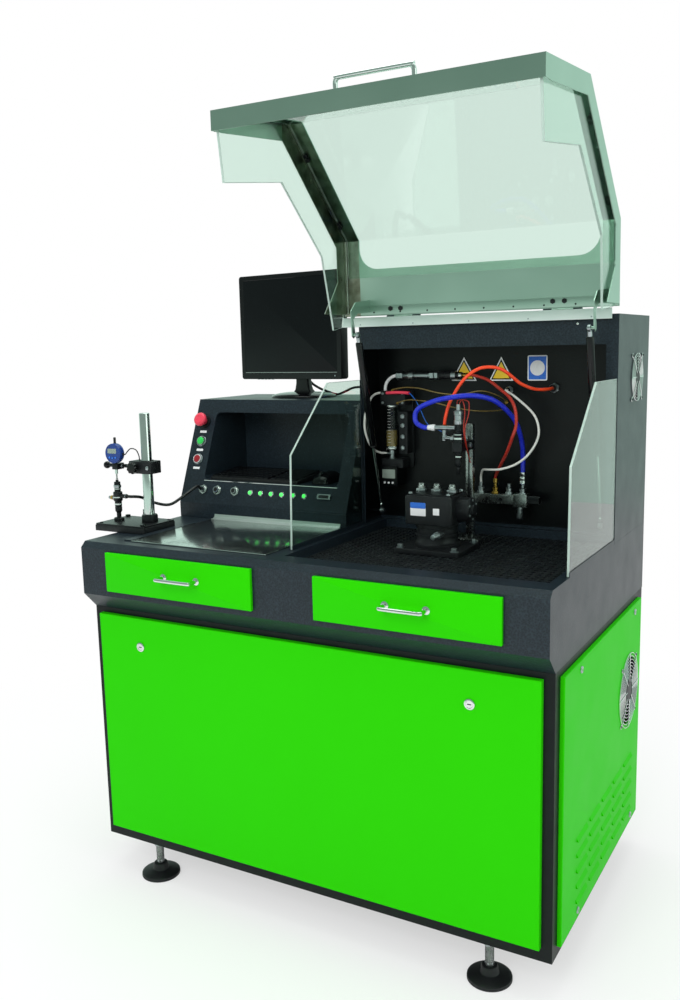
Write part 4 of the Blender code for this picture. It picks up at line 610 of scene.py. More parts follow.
def make_finishes(looks):
    """All finishes of the bench, named for what the real surfaces are."""
    # Gloss polyester powder coat: even saturated colour, faint orange peel some 6 mm across.
    finish("powder_coat_green", looks.panel_hex, 0.48, rough=(9.0, 0.36, 0.5),
           shade=(2.2, 4.0, looks.panel_hex, looks.panel_dark_hex), relief=(170.0, 0.0002, 0.25),
           Specular_IOR_Level=0.05)

    # Hammertone enamel over steel: dimples about 4 mm across catch the light. The walls of the
    # test chamber, behind the housing's mouth, are tinted near black as painted shade of the recess.
    tree, shader, place = finish("hammertone_enamel", "#1A2228", 0.32, rough=(14.0, 0.28, 0.42),
                                 Specular_IOR_Level=0.28)
    cells = add(tree, "ShaderNodeTexVoronoi", {"Scale": 260.0}, {"Vector": place})
    dimple = cells.outputs["Distance"]
    # Painted shade: inside the chamber's box the enamel's colour is swapped for near black #040608.
    chamber = within(tree, place, (-0.6705, 0.494, 0.91), (-0.0015, 0.6015, 1.4335))
    tint(tree, shader, chamber, blend(tree, dimple, "#12191E", "#26323A"), "#040608")
    emboss(tree, shader, dimple, 0.0006, 0.3)

    # Black structure powder coat on the angle iron: half gloss with a fine grain.
    finish("black_powder_coat", "#0B1010", 0.42, rough=(20.0, 0.36, 0.5),
           shade=(35.0, "#080C0D", "#121A1A"), relief=(900.0, 0.0001, 0.3), Specular_IOR_Level=0.2)

    # Brushed stainless sheet: long fine scratches along X, faintly green under the lights.
    # The hood's left border is tinted darker and brownish, a painted reflection of its dark surroundings.
    tree, shader, place = finish("brushed_stainless", "#A9C2B4", 0.32, 1.0, Anisotropic=0.4)
    grain = noise(tree, place, 3.0, 4.0, (3.0, 420.0, 420.0))
    vary(tree, shader, grain, 0.24, 0.42)
    emboss(tree, shader, grain, 0.00006, 0.2)
    plain_tone = blend(tree, noise(tree, place, 5.0), "#98B2A4", "#BBD0C4")
    # Painted reflection: noise mottles the dark brownish tint given to the hood's left border.
    reflection_mottle = ranged(tree, noise(tree, place, 26.0, 3.0), 0.3, 0.62, 0.0, 1.0)
    dark_reflection = blend(tree, reflection_mottle, "#6A6858", "#A8AA9A")
    border = within(tree, place, (-0.7111, 0.205, 1.45), (-0.664, 0.502, 1.886))
    tint(tree, shader, border, plain_tone, dark_reflection)

    # Stainless worktop, polished in overlapping swirls and scuffed by parts set down on it.
    tree, shader, place = finish("swirled_stainless", "#C3C9C6", 0.16, 1.0,
                                 shade=(12.0, 5.0, "#AEB6B3", "#D5DAD7"))
    bent = add(tree, "ShaderNodeTexNoise", {"Scale": 7.0, "Distortion": 2.5}, {"Vector": place})
    swirl = add(tree, "ShaderNodeTexWave", {"Scale": 34.0, "Distortion": 9.0, "Detail": 3.0},
                {"Vector": bent.outputs["Color"]}, wave_type="RINGS").outputs["Fac"]
    vary(tree, shader, swirl, 0.08, 0.24)
    emboss(tree, shader, swirl, 0.00004, 0.15)

    # Metals: anodised strip, satin and nearly white; machined steel with fine turning marks;
    # zinc plate, dull with a faint blue cast; chrome with a trace of haze; tarnished brass.
    for name, colour, roughness, rough, shade in (
        ("satin_aluminium", "#EFF7F3", 0.45, (4.0, 3.0, (60.0, 900.0, 900.0), 0.38, 0.55),
         (14.0, "#E2EEE8", "#F8FCFA")),
        ("machined_steel", "#A7ABA9", 0.26, (160.0, 4.0, 0.18, 0.38), (40.0, "#8C9190", "#BFC3C1")),
        ("zinc_plate", "#B4BABD", 0.34, (260.0, 3.0, 0.26, 0.46), (75.0, "#9AA2A6", "#CAD0D2")),
        ("bright_chrome", "#DCE0DE", 0.1, (30.0, 0.06, 0.18), (18.0, "#CDD2D0", "#E8EBE9")),
        ("brass", "#B8923F", 0.26, (240.0, 0.2, 0.36), (120.0, "#9A7730", "#CBA657")),
    ):
        finish(name, colour, roughness, 1.0, rough, shade)

    # Cast acrylic sheet, water clear and rubbed by wiping, its flame-polished edge, milky pale
    # green, and the borosilicate measuring glass.
    finish("clear_acrylic", "#D6EBE0", 0.01, rough=(12.0, 0.0, 0.02), Transmission_Weight=1.0, IOR=1.45)
    finish("acrylic_edge", "#C9E2D6", 0.3, rough=(300.0, 0.22, 0.42),
           shade=(60.0, 2.0, (1.0, 1.0, 0.2), "#B4D2C4", "#E2F2EA"), Transmission_Weight=0.35, IOR=1.49)
    finish("measuring_glass", "#F4FAF8", 0.02, rough=(80.0, 0.0, 0.05), Transmission_Weight=1.0, IOR=1.2)

    # Blacks: dull oily nitrile rubber; ABS with a fine spark texture; glossy ABS with handling
    # haze; the anti-glare face of the switched-off screen; black oxide; sandy painted casting;
    # soft PVC cable jacket.
    finish("nitrile_rubber", "#101416", 0.55, rough=(25.0, 0.35, 0.7),
           shade=(18.0, 4.0, "#0C0F11", "#1B2023"), relief=(700.0, 0.0002, 0.4))
    finish("textured_abs", "#131517", 0.5, rough=(60.0, 0.42, 0.58), relief=(1100.0, 0.0001, 0.35))
    finish("gloss_abs", "#0B0C0E", 0.14, rough=(35.0, 0.08, 0.24), Coat_Weight=0.2,
           Specular_IOR_Level=0.2)
    finish("screen_glass", "#07090B", 0.24, rough=(8.0, 0.18, 0.32),
           shade=(1400.0, "#050708", "#0C1013"), Specular_IOR_Level=0.18)
    finish("black_oxide", "#15181A", 0.38, 0.5, (220.0, 0.28, 0.5), (60.0, "#0E1011", "#23282A"))
    finish("painted_casting", "#17191B", 0.48, 0.2, (90.0, 0.4, 0.6),
           (30.0, "#101213", "#202427"), (520.0, 0.0004, 0.5))
    finish("cable_pvc", "#101214", 0.4, rough=(120.0, 0.32, 0.48), relief=(800.0, 0.0001, 0.25))

    # Polyurethane air hose: smooth, slightly translucent skin.
    for name, first, second in (
        ("hose_orange", "#FA3A12", "#FF5A30"), ("hose_red", "#A82A20", "#BC3E30"),
        ("hose_blue", "#1420B8", "#2A3CD0"), ("hose_white", "#D9DCD4", "#ECEEE8"),
        ("hose_amber", "#6E5E2E", "#8A7842"),
    ):
        finish(name, first, 0.28, rough=(300.0, 0.22, 0.36), shade=(45.0, first, second),
               Subsurface_Weight=0.12, Subsurface_Radius=(0.002, 0.002, 0.002))

    # Injection-moulded signal colours, glossy.
    for name, first, second in (
        ("signal_red", "#E0334C", "#EC4A62"), ("signal_dark_red", "#8E1420", "#A51D2B"),
        ("signal_green", "#22C24A", "#35DA62"), ("signal_blue", "#14306E", "#1D4190"),
        ("signal_yellow", "#E9C21B", "#F2D040"), ("sticker_blue", "#1F62C4", "#2A70D2"),
        ("moulded_white", "#DDE2E2", "#EEF1F1"), ("display_grey", "#7F8E84", "#94A398"),
    ):
        finish(name, first, 0.3, rough=(140.0, 0.22, 0.38), shade=(80.0, first, second))

    # Lit green indicator lens: brighter towards the middle of its moulded facets.
    tree, shader, place = finish("lit_lens", "#39F25A", 0.2, rough=(300.0, 0.12, 0.3),
                                 Emission_Strength=1.4)
    facets = add(tree, "ShaderNodeTexVoronoi", {"Scale": 700.0}, {"Vector": place})
    glow = blend(tree, facets.outputs["Distance"], "#6BFF78", "#1FE23A")
    tree.links.new(glow, shader.inputs["Emission Color"])


def combine(tree, operation, first, second):
    """Output of a math node on two values, each a number or another node's output."""
    node = add(tree, "ShaderNodeMath", operation=operation)
    for key, value in enumerate((first, second)):
        if isinstance(value, float):
            node.inputs[key].default_value = value
        else:
            tree.links.new(value, node.inputs[key])
    return node.outputs[0]


def within(tree, place, low, high):
    """One inside a box given in the cabinet's measures and 0 outside, from the coordinates."""
    axes = add(tree, "ShaderNodeSeparateXYZ", {}, {"Vector": place})
    mask = 1.0
    for axis, start, end in zip("XYZ", np.array(low) + SHIFT, np.array(high) + SHIFT):
        for operation, limit in (("GREATER_THAN", start), ("LESS_THAN", end)):
            test = combine(tree, operation, axes.outputs[axis], float(limit))
            mask = combine(tree, "MULTIPLY", mask, test)
    return mask


def ranged(tree, value, start, end, low, high, easing="LINEAR"):
    """Output that runs from low to high while the value runs from start to end."""
    limits = {"From Min": start, "From Max": end, "To Min": low, "To Max": high}
    node = add(tree, "ShaderNodeMapRange", limits, {"Value": value}, interpolation_type=easing)
    return node.outputs["Result"]


# Stage


class BenchStageSettings(bpy.types.PropertyGroup):
    """Camera and light of the studio."""

    camera_at: FloatVectorProperty(
        name="Camera", description="Camera position", default=(1.1907, -2.1146, 1.375),
        subtype="TRANSLATION", unit="LENGTH",
    )
    yaw: FloatProperty(
        name="Yaw", description="Camera heading to the left of +Y", default=math.radians(29.8),
        subtype="ANGLE", unit="ROTATION",
    )
    pitch: FloatProperty(
        name="Pitch", description="Camera tilt downwards", default=math.radians(9.09),
        subtype="ANGLE", unit="ROTATION",
    )
    roll: FloatProperty(
        name="Roll", description="Camera roll", default=math.radians(-1.35),
        subtype="ANGLE", unit="ROTATION",
    )
    focal: FloatProperty(
        name="Lens", description="Focal length on a 36 mm tall frame, in millimetres",
        default=34.46, min=10.0, max=200.0,
    )


class BenchLooks(bpy.types.PropertyGroup):
    """Colours and sizes that a user would change."""

    panel_colour: FloatVectorProperty(
        name="Panels", description="Powder coat of the covers and drawers, sRGB",
        default=(0.17, 0.8, 0.0), min=0.0, max=1.0, subtype="COLOR_GAMMA",
    )
    hose_sides: IntProperty(
        name="Hose sides", description="Facets round each hose", default=16, min=8, max=32
    )

    @property
    def panel_hex(self):
        return "#" + "".join(f"{round(value * 255):02X}" for value in self.panel_colour)

    @property
    def panel_dark_hex(self):
        return "#" + "".join(f"{round(value * 245):02X}" for value in self.panel_colour)


def light(name, place, target, size, watts, colour, mirrored=True):
    """Square soft box pointing at a spot; polished sheets need not mirror it."""
    data = bpy.data.lights.new(name, "AREA")
    data.size = size
    data.energy = watts
    data.color = linear(colour)[:3]
    ob = bpy.data.objects.new(name, data)
    ob.location = place
    aim = Vector(target) - Vector(place)
    ob.rotation_euler = aim.to_track_quat("-Z", "Y").to_euler()
    ob.visible_glossy = mirrored
    bpy.context.scene.collection.objects.link(ob)


def studio_world(scene):
    """White backdrop for the camera and clear sheets. Polished faces see it behind the bench
    and near the floor, faintly mint, and a dimmer room in front and above."""
    world = bpy.data.worlds.new("studio")
    world.use_nodes = True
    scene.world = world
    tree = world.node_tree
    tree.nodes.clear()
    rays = add(tree, "ShaderNodeLightPath").outputs
    seen = combine(tree, "MAXIMUM", rays["Is Camera Ray"], rays["Is Transmission Ray"])
    way = add(tree, "ShaderNodeTexCoord").outputs["Generated"]
    side = add(tree, "ShaderNodeSeparateXYZ", {}, {0: way}).outputs
    behind = ranged(tree, side["Y"], -0.35, 0.45, 0.4, 1.05, "SMOOTHSTEP")
    below = ranged(tree, side["Z"], 0.1, -0.04, 0.0, 0.95, "SMOOTHSTEP")
    polish = combine(tree, "MAXIMUM", behind, below)
    lit = add(tree, "ShaderNodeVectorMath", {1: (0.1, -0.1, 0.99)}, {0: way}, operation="DOT_PRODUCT")
    fill = ranged(tree, lit.outputs["Value"], -0.6, 0.95, 0.35, 1.0)
    soft = add(tree, "ShaderNodeBackground", {"Color": linear("#F7FAF9")}, {"Strength": fill})
    mint = add(tree, "ShaderNodeBackground", {"Color": linear("#D6F4E7")}, {"Strength": polish})
    white = add(tree, "ShaderNodeBackground", {"Color": (1, 1, 1, 1), "Strength": 1.0})
    shiny = add(tree, "ShaderNodeMixShader", {},
                {0: rays["Is Glossy Ray"], 1: soft.outputs[0], 2: mint.outputs[0]})
    mix = add(tree, "ShaderNodeMixShader", {}, {0: seen, 1: shiny.outputs[0], 2: white.outputs[0]})
    add(tree, "ShaderNodeOutputWorld", {}, {"Surface": mix.outputs[0]})


def pale_floor(scene):
    """Pale floor that keeps the bench's shadow and fades to the white backdrop behind it."""
    corners = [(-6.0, -6.0), (6.0, -6.0), (6.0, 6.0), (-6.0, 6.0)]
    mesh = bpy.data.meshes.new("floor")
    mesh.from_pydata([(x, y, -0.0005) for x, y in corners], [], [(0, 1, 2, 3)])
    material = bpy.data.materials.new("studio_floor")
    material.use_nodes = True
    tree = material.node_tree
    shader = tree.nodes["Principled BSDF"]
    shader.inputs["Base Color"].default_value = linear("#F6F7F7")
    shader.inputs["Roughness"].default_value = 0.9
    shader.inputs["Specular IOR Level"].default_value = 0.1
    place = add(tree, "ShaderNodeTexCoord").outputs["Object"]
    away = add(tree, "ShaderNodeVectorMath", {}, {0: place}, operation="LENGTH")
    fade = ranged(tree, away.outputs["Value"], 0.7, 2.0, 0.55, 1.0)
    rays = add(tree, "ShaderNodeLightPath").outputs
    mirrored = combine(tree, "MULTIPLY", rays["Is Glossy Ray"], 0.35)
    seen = combine(tree, "MAXIMUM", rays["Is Camera Ray"], mirrored)
    clear = combine(tree, "MAXIMUM", seen, rays["Is Transmission Ray"])
    share = combine(tree, "MULTIPLY", fade, clear)
    white = add(tree, "ShaderNodeEmission", {"Color": (1, 1, 1, 1), "Strength": 1.0})
    mix = add(tree, "ShaderNodeMixShader", {}, {0: share, 1: shader.outputs[0], 2: white.outputs[0]})
    tree.links.new(mix.outputs[0], tree.nodes["Material Output"].inputs["Surface"])
    mesh.materials.append(material)
    floor = bpy.data.objects.new("floor", mesh)
    scene.collection.objects.link(floor)


class BENCH_OT_stage(bpy.types.Operator):
    """Camera, studio lights, world and pale floor."""

    bl_idname = "bench.stage"
    bl_label = "Stage"

    def execute(self, context):
        scene = context.scene
        settings = scene.bench_stage
        scene.view_settings.view_transform = "Standard"
        yaw, pitch, roll = settings.yaw, settings.pitch, settings.roll
        level = Vector((-math.sin(yaw), math.cos(yaw), 0.0))
        ahead = level * math.cos(pitch) - Vector((0.0, 0.0, math.sin(pitch)))
        right = Vector((math.cos(yaw), math.sin(yaw), 0.0))
        up = right.cross(ahead)
        across = right * math.cos(roll) + up * math.sin(roll)
        upright = up * math.cos(roll) - right * math.sin(roll)
        data = bpy.data.cameras.new("camera")
        data.sensor_fit = "VERTICAL"
        data.sensor_height = 36.0
        data.lens = settings.focal
        camera = bpy.data.objects.new("camera", data)
        turn = Matrix((across, upright, -ahead)).transposed().to_4x4()
        camera.matrix_world = Matrix.Translation(settings.camera_at) @ turn
        scene.collection.objects.link(camera)
        scene.camera = camera
        studio_world(scene)
        pale_floor(scene)
        light("key", (0.3, -3.6, 3.0), (0.0, 0.0, 0.8), 1.8, 60.0, "#FFFFFF", mirrored=False)
        light("side", (3.8, -0.6, 2.2), (0.3, 0.0, 0.9), 2.0, 16.0, "#F4FFF8")
        light("top", (0.0, 0.2, 3.6), (0.0, 0.0, 0.9), 2.4, 32.0, "#FFFFFF")
        return {"FINISHED"}


# Cabinet


class BENCH_OT_drawers(bpy.types.Operator):
    """Both drawers: folded box, bevelled green front and a chrome bar on two rosettes."""

    bl_idname = "bench.drawers"
    bl_label = "Drawers"

    def execute(self, context):
        rows = (("drawer_left", (-1.132, -0.694), 0.39, (-0.953, -0.843)),
                ("drawer_right", (-0.529, -0.094), 0.262, (-0.358, -0.251)))
        for name, x, depth, grip in rows:
            box = round_rect((x[0] + 0.006, x[1] - 0.006), (-0.002, depth), 0.002, 3)
            parts = [
                (block(x, (-0.01, -0.0003), (0.784, 0.883), 0.0015, 0.0015, "Y"),
                 "powder_coat_green"),
                (opened(box, inset(box, 0.0015), 0.788, 0.866, "Z", 0.0004), "powder_coat_green"),
                (slab(inset(box, 0.001), 0.788, 0.7895, 0.0003), "powder_coat_green"),
            ]
            z, ends = 0.838, (grip[0] + 0.006, grip[1] - 0.006)
            route = [(ends[0], -0.009, z), (ends[0], -0.03, z), (ends[0] + 0.0015, -0.0375, z),
                     (ends[0] + 0.008, -0.04, z), (ends[1] - 0.008, -0.04, z),
                     (ends[1] - 0.0015, -0.0375, z), (ends[1], -0.03, z), (ends[1], -0.009, z)]
            put(parts, "bright_chrome", tube(smooth_path(route, 72), 0.0045, 20))
            rosette = mm(0, 0, 9, 0, 9, 1, 7.8, 2.2, 5, 2.8, 0, 2.8)
            for end in ends:
                put(parts, "bright_chrome", lathe(rosette, (end, -0.0099, z), FRONT))
            piece(name + "_dressed", name, parts, (name,))
        return {"FINISHED"}


class BENCH_OT_feet(bpy.types.Operator):
    """Levelling feet: rubber pad, dished disc, hexagon neck, threaded stem and jam nut."""

    bl_idname = "bench.feet"
    bl_label = "Feet"

    def execute(self, context):
        turns = np.arange(0, 0.082, 0.0005)
        ridge = np.where(np.arange(len(turns)) % 3 == 1, 0.009, 0.01)
        thread = np.column_stack((ridge, 0.0328 + turns))
        thread = np.vstack(((0, 0.0328), thread, (0, thread[-1, 1])))
        dish = mm(0, 5.2, 49.4, 5.2, 49.9, 6.4, 49.4, 8.2, 47, 9.6, 42, 11.4, 30, 13.6, 21.5, 16,
                  19.8, 18.5, 18.8, 29, 16.8, 32.5, 11, 33.7, 0, 33.7)
        pad = mm(0, 0, 48.6, 0, 49.9, 1.2, 49.9, 4.4, 48.6, 5.4, 0, 5.4)
        places = {"front_left": (-1.073, 0.066), "front_right": (-0.147, 0.066),
                  "back_left": (-1.073, 0.774), "back_right": (-0.147, 0.774)}
        for corner, (x, y) in places.items():
            name = "foot_" + corner
            parts = [(turned(pad, (x, y, 0), steps=64), "nitrile_rubber"),
                     (turned(dish, (x, y, 0), steps=64), "textured_abs"),
                     (turned(thread, (x, y, 0), steps=28), "machined_steel"),
                     (hexagon((x, y), 0.018, (0.0337, 0.041), "Z", 0.0008), "zinc_plate"),
                     (hexagon((x, y), 0.03, (0.0842, 0.0945), "Z", 0.0012), "zinc_plate")]
            piece(name + "_dressed", name, parts, (name,))
        return {"FINISHED"}


class BENCH_OT_locks(bpy.types.Operator):
    """Quarter-turn locks: dished chrome head, key slot, barrel, nut and cam."""

    bl_idname = "bench.locks"
    bl_label = "Locks"

    def execute(self, context):
        head = mm(0, 0, 11.9, 0, 12.1, 0.6, 11.8, 2.2, 10.6, 3.1, 8.2, 3.2, 7.4, 2.2, 0, 2.2)
        for name, (x, z), way in (("lock_left", LOCKS[0], 1), ("lock_right", LOCKS[1], -1)):
            cam = round_rect(sorted((x - way * 0.009, x + way * 0.08)), (z - 0.008, z + 0.008), 0.0045)
            parts = [(lathe(head, (x, 0.0247, z), FRONT, 48), "bright_chrome"),
                     (block((x - 0.0046, x + 0.0046), (0.0222, 0.0226), (z - 0.0011, z + 0.0011), 0.0008,
                            0.0001, "Y"), "black_oxide"),
                     (bar((x, z), 0.0095, (0.024, 0.05), "Y", 0.0008), "zinc_plate"),
                     (slab(cam, 0.0445, 0.047, 0.0005, "Y"), "zinc_plate"),
                     (nut((x, 0.047, z), (0, 1, 0), 0.013, 0.004), "machined_steel")]
            piece(name + "_dressed", name, parts, (name,))
        return {"FINISHED"}


class BENCH_OT_screws(bpy.types.Operator):
    """Hexagon-socket screws that hold the side and rear covers."""

    bl_idname = "bench.screws"
    bl_label = "Cover screws"

    def execute(self, context):
        corners = ((0.19, 0.69), (0.68, 0.69), (0.19, 0.138), (0.68, 0.138))
        for side, name in ((1, "right"), (-1, "left")):
            base = 0.01 if side > 0 else -1.23
            parts = [
                (screw((base, y, z), (side, 0, 0), 0.0078, 0.0032), "zinc_plate")
                for y, z in corners
            ]
            piece("screws_" + name, "bench", parts)
        rear = ((-1.18, 0.69), (-0.04, 0.69), (-1.18, 0.15), (-0.04, 0.15))
        parts = [(screw((x, 0.805, z), (0, 1, 0), 0.0078, 0.002), "zinc_plate") for x, z in rear]
        piece("screws_back", "bench", parts)
        return {"FINISHED"}


class BENCH_OT_fans(bpy.types.Operator):
    """Two axial fans: wire guard on its screws, motor barrel and a seven-bladed rotor."""

    bl_idname = "bench.fans"
    bl_label = "Fans"

    def execute(self, context):
        rows = (("lower", (0.628, 0.499), 0.0103, 0.096, 0.086, 0.0725, 8),
                ("upper", (0.68, 1.285), 0.0003, 0.0587, 0.052, 0.0525, 6))
        for name, centre, face, radius, bore, corner, count in rows:
            y, z = centre
            hub = radius * 0.34
            step = np.linspace(hub + 0.004, radius - 0.001, count)
            parts = [(wire_ring(r, 0.001, (face + 0.0018, y, z), "X", 72), "bright_chrome") for r in step]
            for turn in np.radians(np.arange(8) * 45.0):
                across = np.array((0.0, math.cos(turn), math.sin(turn)))
                start = np.array((face + 0.0032, y, z)) + across * hub * 0.7
                end = start + across * (radius - hub * 0.7)
                put(parts, "bright_chrome", rod(start, end, 0.001, 10, 0.0002))
            for u, v in CORNERS:
                spot = (y + u * corner, z + v * corner)
                inner = np.array((face + 0.0016, y + u * radius * 0.68, z + v * radius * 0.68))
                outer = (face + 0.0016, y + u * (corner - 0.003), z + v * (corner - 0.003))
                put(parts, "bright_chrome",
                    rod(inner, outer, 0.001, 10, 0.0002),
                    wire_ring(0.0044, 0.001, (face + 0.0012, *spot), "X", 28))
                put(parts, "black_oxide", screw((face, *spot), RIGHT, 0.004, 0.003))
            disc = [(0, 0), (hub * 0.88, 0), (hub * 0.9, 0.0008), (hub * 0.86, 0.002),
                    (hub * 0.6, 0.0025), (0, 0.0025)]
            put(parts, "textured_abs", lathe(disc, (face, y, z), RIGHT, 56))
            barrel = [(0, 0), (hub * 0.7, 0), (hub * 0.72, 0.001), (hub * 0.72, 0.03), (0, 0.03)]
            put(parts, "textured_abs", lathe(barrel, (face - 0.03, y, z), RIGHT, 48))
            node = "fan_guard_" + name
            piece(node + "_wires", "bench", parts, (node,))

            node = "fan_rotor_" + name
            inner, back = hub * 0.72 + 0.0008, face - 0.034
            cup = [(0, back), (inner + 0.0022, back), (inner + 0.003, back + 0.001),
                   (inner + 0.003, face - 0.006), (inner, face - 0.006), (inner, face - 0.0306),
                   (0, face - 0.0306)]
            parts = [(turned(cup, (0, y, z), "X", 56), "textured_abs")]
            reach, depth = (inner + 0.002, bore - 0.002), (back + 0.004, face - 0.009)
            parts += [
                (blade(centre, reach, turn, 0.62, depth), "textured_abs")
                for turn in np.arange(7) * 2 * np.pi / 7
            ]
            piece(node + "_blades", node, parts, (node,))
        return {"FINISHED"}


class BENCH_OT_worktop(bpy.types.Operator):
    """Stainless worktop with its upturned cove, and the rubber mat of round holes."""

    bl_idname = "bench.worktop"
    bl_label = "Worktop and mat"

    def execute(self, context):
        top = block((-1.098, -0.69), (0.05, 0.398), (0.9023, 0.905), 0.002, 0.0008)
        cove = mm(379, 904.9, 390.5, 906.2, 396.6, 910, 398.4, 916.5, 399.4, 916.5, 399, 904.9)
        parts = [(top, "swirled_stainless")]
        # Painted highlight: the upturned cove takes the nearly white satin finish, brighter than the
        # stainless worktop.
        put(parts, "satin_aluminium", slab(cove, -1.097, -0.691, 0.0002, "X", 1))
        piece("worktop_sheet", "bench", parts, ("worktop_plate",))
        mat = pierced_mat((-0.648, -0.026), (0.072, 0.588), (0.8723, 0.8803), 34, 28, 0.006,
                          DRIVE_AT, 0.042)
        piece("drain_mat_pierced", "bench", [(mat, "nitrile_rubber")], ("drain_mat",), angle=30.0)
        return {"FINISHED"}


# Hood


def shifted(path, distance):
    """Open path moved to its right by the distance, its corners mitred."""
    path = np.asarray(path, float)
    run = np.diff(path, axis=0)
    run /= np.linalg.norm(run, axis=1)[:, None]
    normal = np.stack((run[:, 1], -run[:, 0]), -1)
    first, second = np.vstack((normal[:1], normal)), np.vstack((normal, normal[-1:]))
    return path + (first + second) * (distance / (1 + (first * second).sum(1)))[:, None]


def stretch_of(path, start, end):
    """The part of an open path between two distances from its first point."""
    path = np.asarray(path, float)
    walked = walk_along(path)
    inner = walked[(walked > start) & (walked < end)]
    marks = np.concatenate(((start,), inner, (end,)))
    return np.stack([np.interp(marks, walked, path[:, k]) for k in range(2)], -1)


class BENCH_OT_hood(bpy.types.Operator):
    """Clear sheets of the hood with their bright sawn edges, its handle and its bolts."""

    bl_idname = "bench.hood"
    bl_label = "Hood"

    def execute(self, context):
        near = eased(stretch_of(shifted(HOOD_OUTLINE, 0.0023), 0.03, 0.735), 0.01)
        window = bent_pane(near, shifted(near, 0.004), HOOD_X[0] + 0.017, HOOD_X[1] - 0.017)
        piece("hood_window_sheet", "hood", carried(window, in_hood), ("hood_window",), angle=5.0)
        edge = shifted(HOOD_OUTLINE, 0.003)
        edge[0, 1] += 0.003
        edge[-1] -= 0.001
        inner = mm(-154, -122, -314, -290, -292, -516)
        right = np.vstack((edge, (0.002, -0.112), inner))
        left = np.vstack((edge[:-1], (-0.0105, edge[-1, 1]), (-0.0105, -0.0245),
                          (0.0218, -0.0342), (0.0278, -0.0788), inner))
        walls = (("right", 1, HOOD_X[1], right), ("left", -1, HOOD_X[0], left))
        for name, side, wall, outline in walls:
            span = sorted((wall - side * 0.0125, wall - side * 0.0075))
            sheet = carried(pane(outline, *span), in_hood)
            node = "hood_skirt_" + name
            piece(node + "_sheet", "hood", sheet, (node,))
        outline = mm(128, 903, 136, 1127, 315, 1288, 490.5, 1288, 490.5, 903)
        for node, span in (("guard_right", (-0.0065, -0.0015)), ("guard_left", (-0.6705, -0.6655))):
            piece(node + "_sheet", "bench", pane(outline, *span), (node,))

        up = HOOD_OUTLINE[1] - HOOD_OUTLINE[0]
        up = up / np.linalg.norm(up)
        out = np.array((-up[1], up[0]))
        root = HOOD_OUTLINE[0] + up * 0.032
        places = ((-0.431, 0.0003), (-0.431, 0.016), (-0.427, 0.0235), (-0.419, 0.0255),
                  (-0.274, 0.0255), (-0.266, 0.0235), (-0.262, 0.016), (-0.262, 0.0003))
        route = [(x, *(root + out * distance)) for x, distance in places]
        parts = [(tube(smooth_path(route, 90), 0.005, 20), "bright_chrome")]
        ring = mm(0, 0, 9.5, 0, 9.5, 1.2, 7.6, 3, 5.5, 3.4, 0, 3.4)
        for x in (-0.431, -0.262):
            put(parts, "bright_chrome", lathe(ring, (x, *root), (0, *out)))
        piece("hood_handle_bar", "hood", carried(parts, in_hood), ("hood_handle",))

        across = HOOD_OUTLINE[2] - HOOD_OUTLINE[1]
        across = across / np.linalg.norm(across)
        face = np.array((across[1], -across[0]))
        bolts = []
        for x in (HOOD_X[0] + 0.0205, HOOD_X[1] - 0.0205):
            for walk in (0.089, 0.101, 0.296, 0.308):
                spot = HOOD_OUTLINE[1] + across * walk + face * 0.0063
                put(bolts, "black_oxide", nut((x, *spot), (0, *face), 0.01, 0.005))
                end = spot + face * 0.0048
                put(bolts, "black_oxide", rod((x, *end), (x, *(end + face * 0.004)), 0.0024, 16))
        hem = block((HOOD_X[0] + 0.0025, HOOD_X[1] - 0.0025), (-0.03, -0.0068),
                    (0.0014, 0.0042), 0.0, 0.0008)
        put(bolts, "brushed_stainless", hem)
        for x in (-0.577, -0.549, -0.154, -0.126):
            put(bolts, "black_oxide", nut((x, -0.0215, 0.0015), (0, 0, -1), 0.011, 0.0032))
        for x in -0.625 + 0.075 * np.arange(8):
            put(bolts, "black_oxide", screw((x, -0.0132, 0.0015), (0, 0, -1), 0.0022, 0.001))
        piece("hood_bolts", "hood", carried(bolts, in_hood))

        # The hinge's cover strip on the housing, polished, with its drawn-in rims.
        strip = block((-0.715, -0.0135), (0.4787, 0.4813), (1.4241, 1.4482), 0.0, 0.0008, "Y")
        dots = [screw((x, 0.4788, 1.43), FRONT, 0.0018, 0.0006) for x in -0.66 + 0.15 * np.arange(5)]
        parts = [(strip, "satin_aluminium")] + [(dot, "zinc_plate") for dot in dots]
        put(parts, "bright_chrome", screw((-0.0951, 0.4921, 1.4155), FRONT, 0.0032, 0.002))
        piece("hinge_strip", "bench", parts)
        return {"FINISHED"}


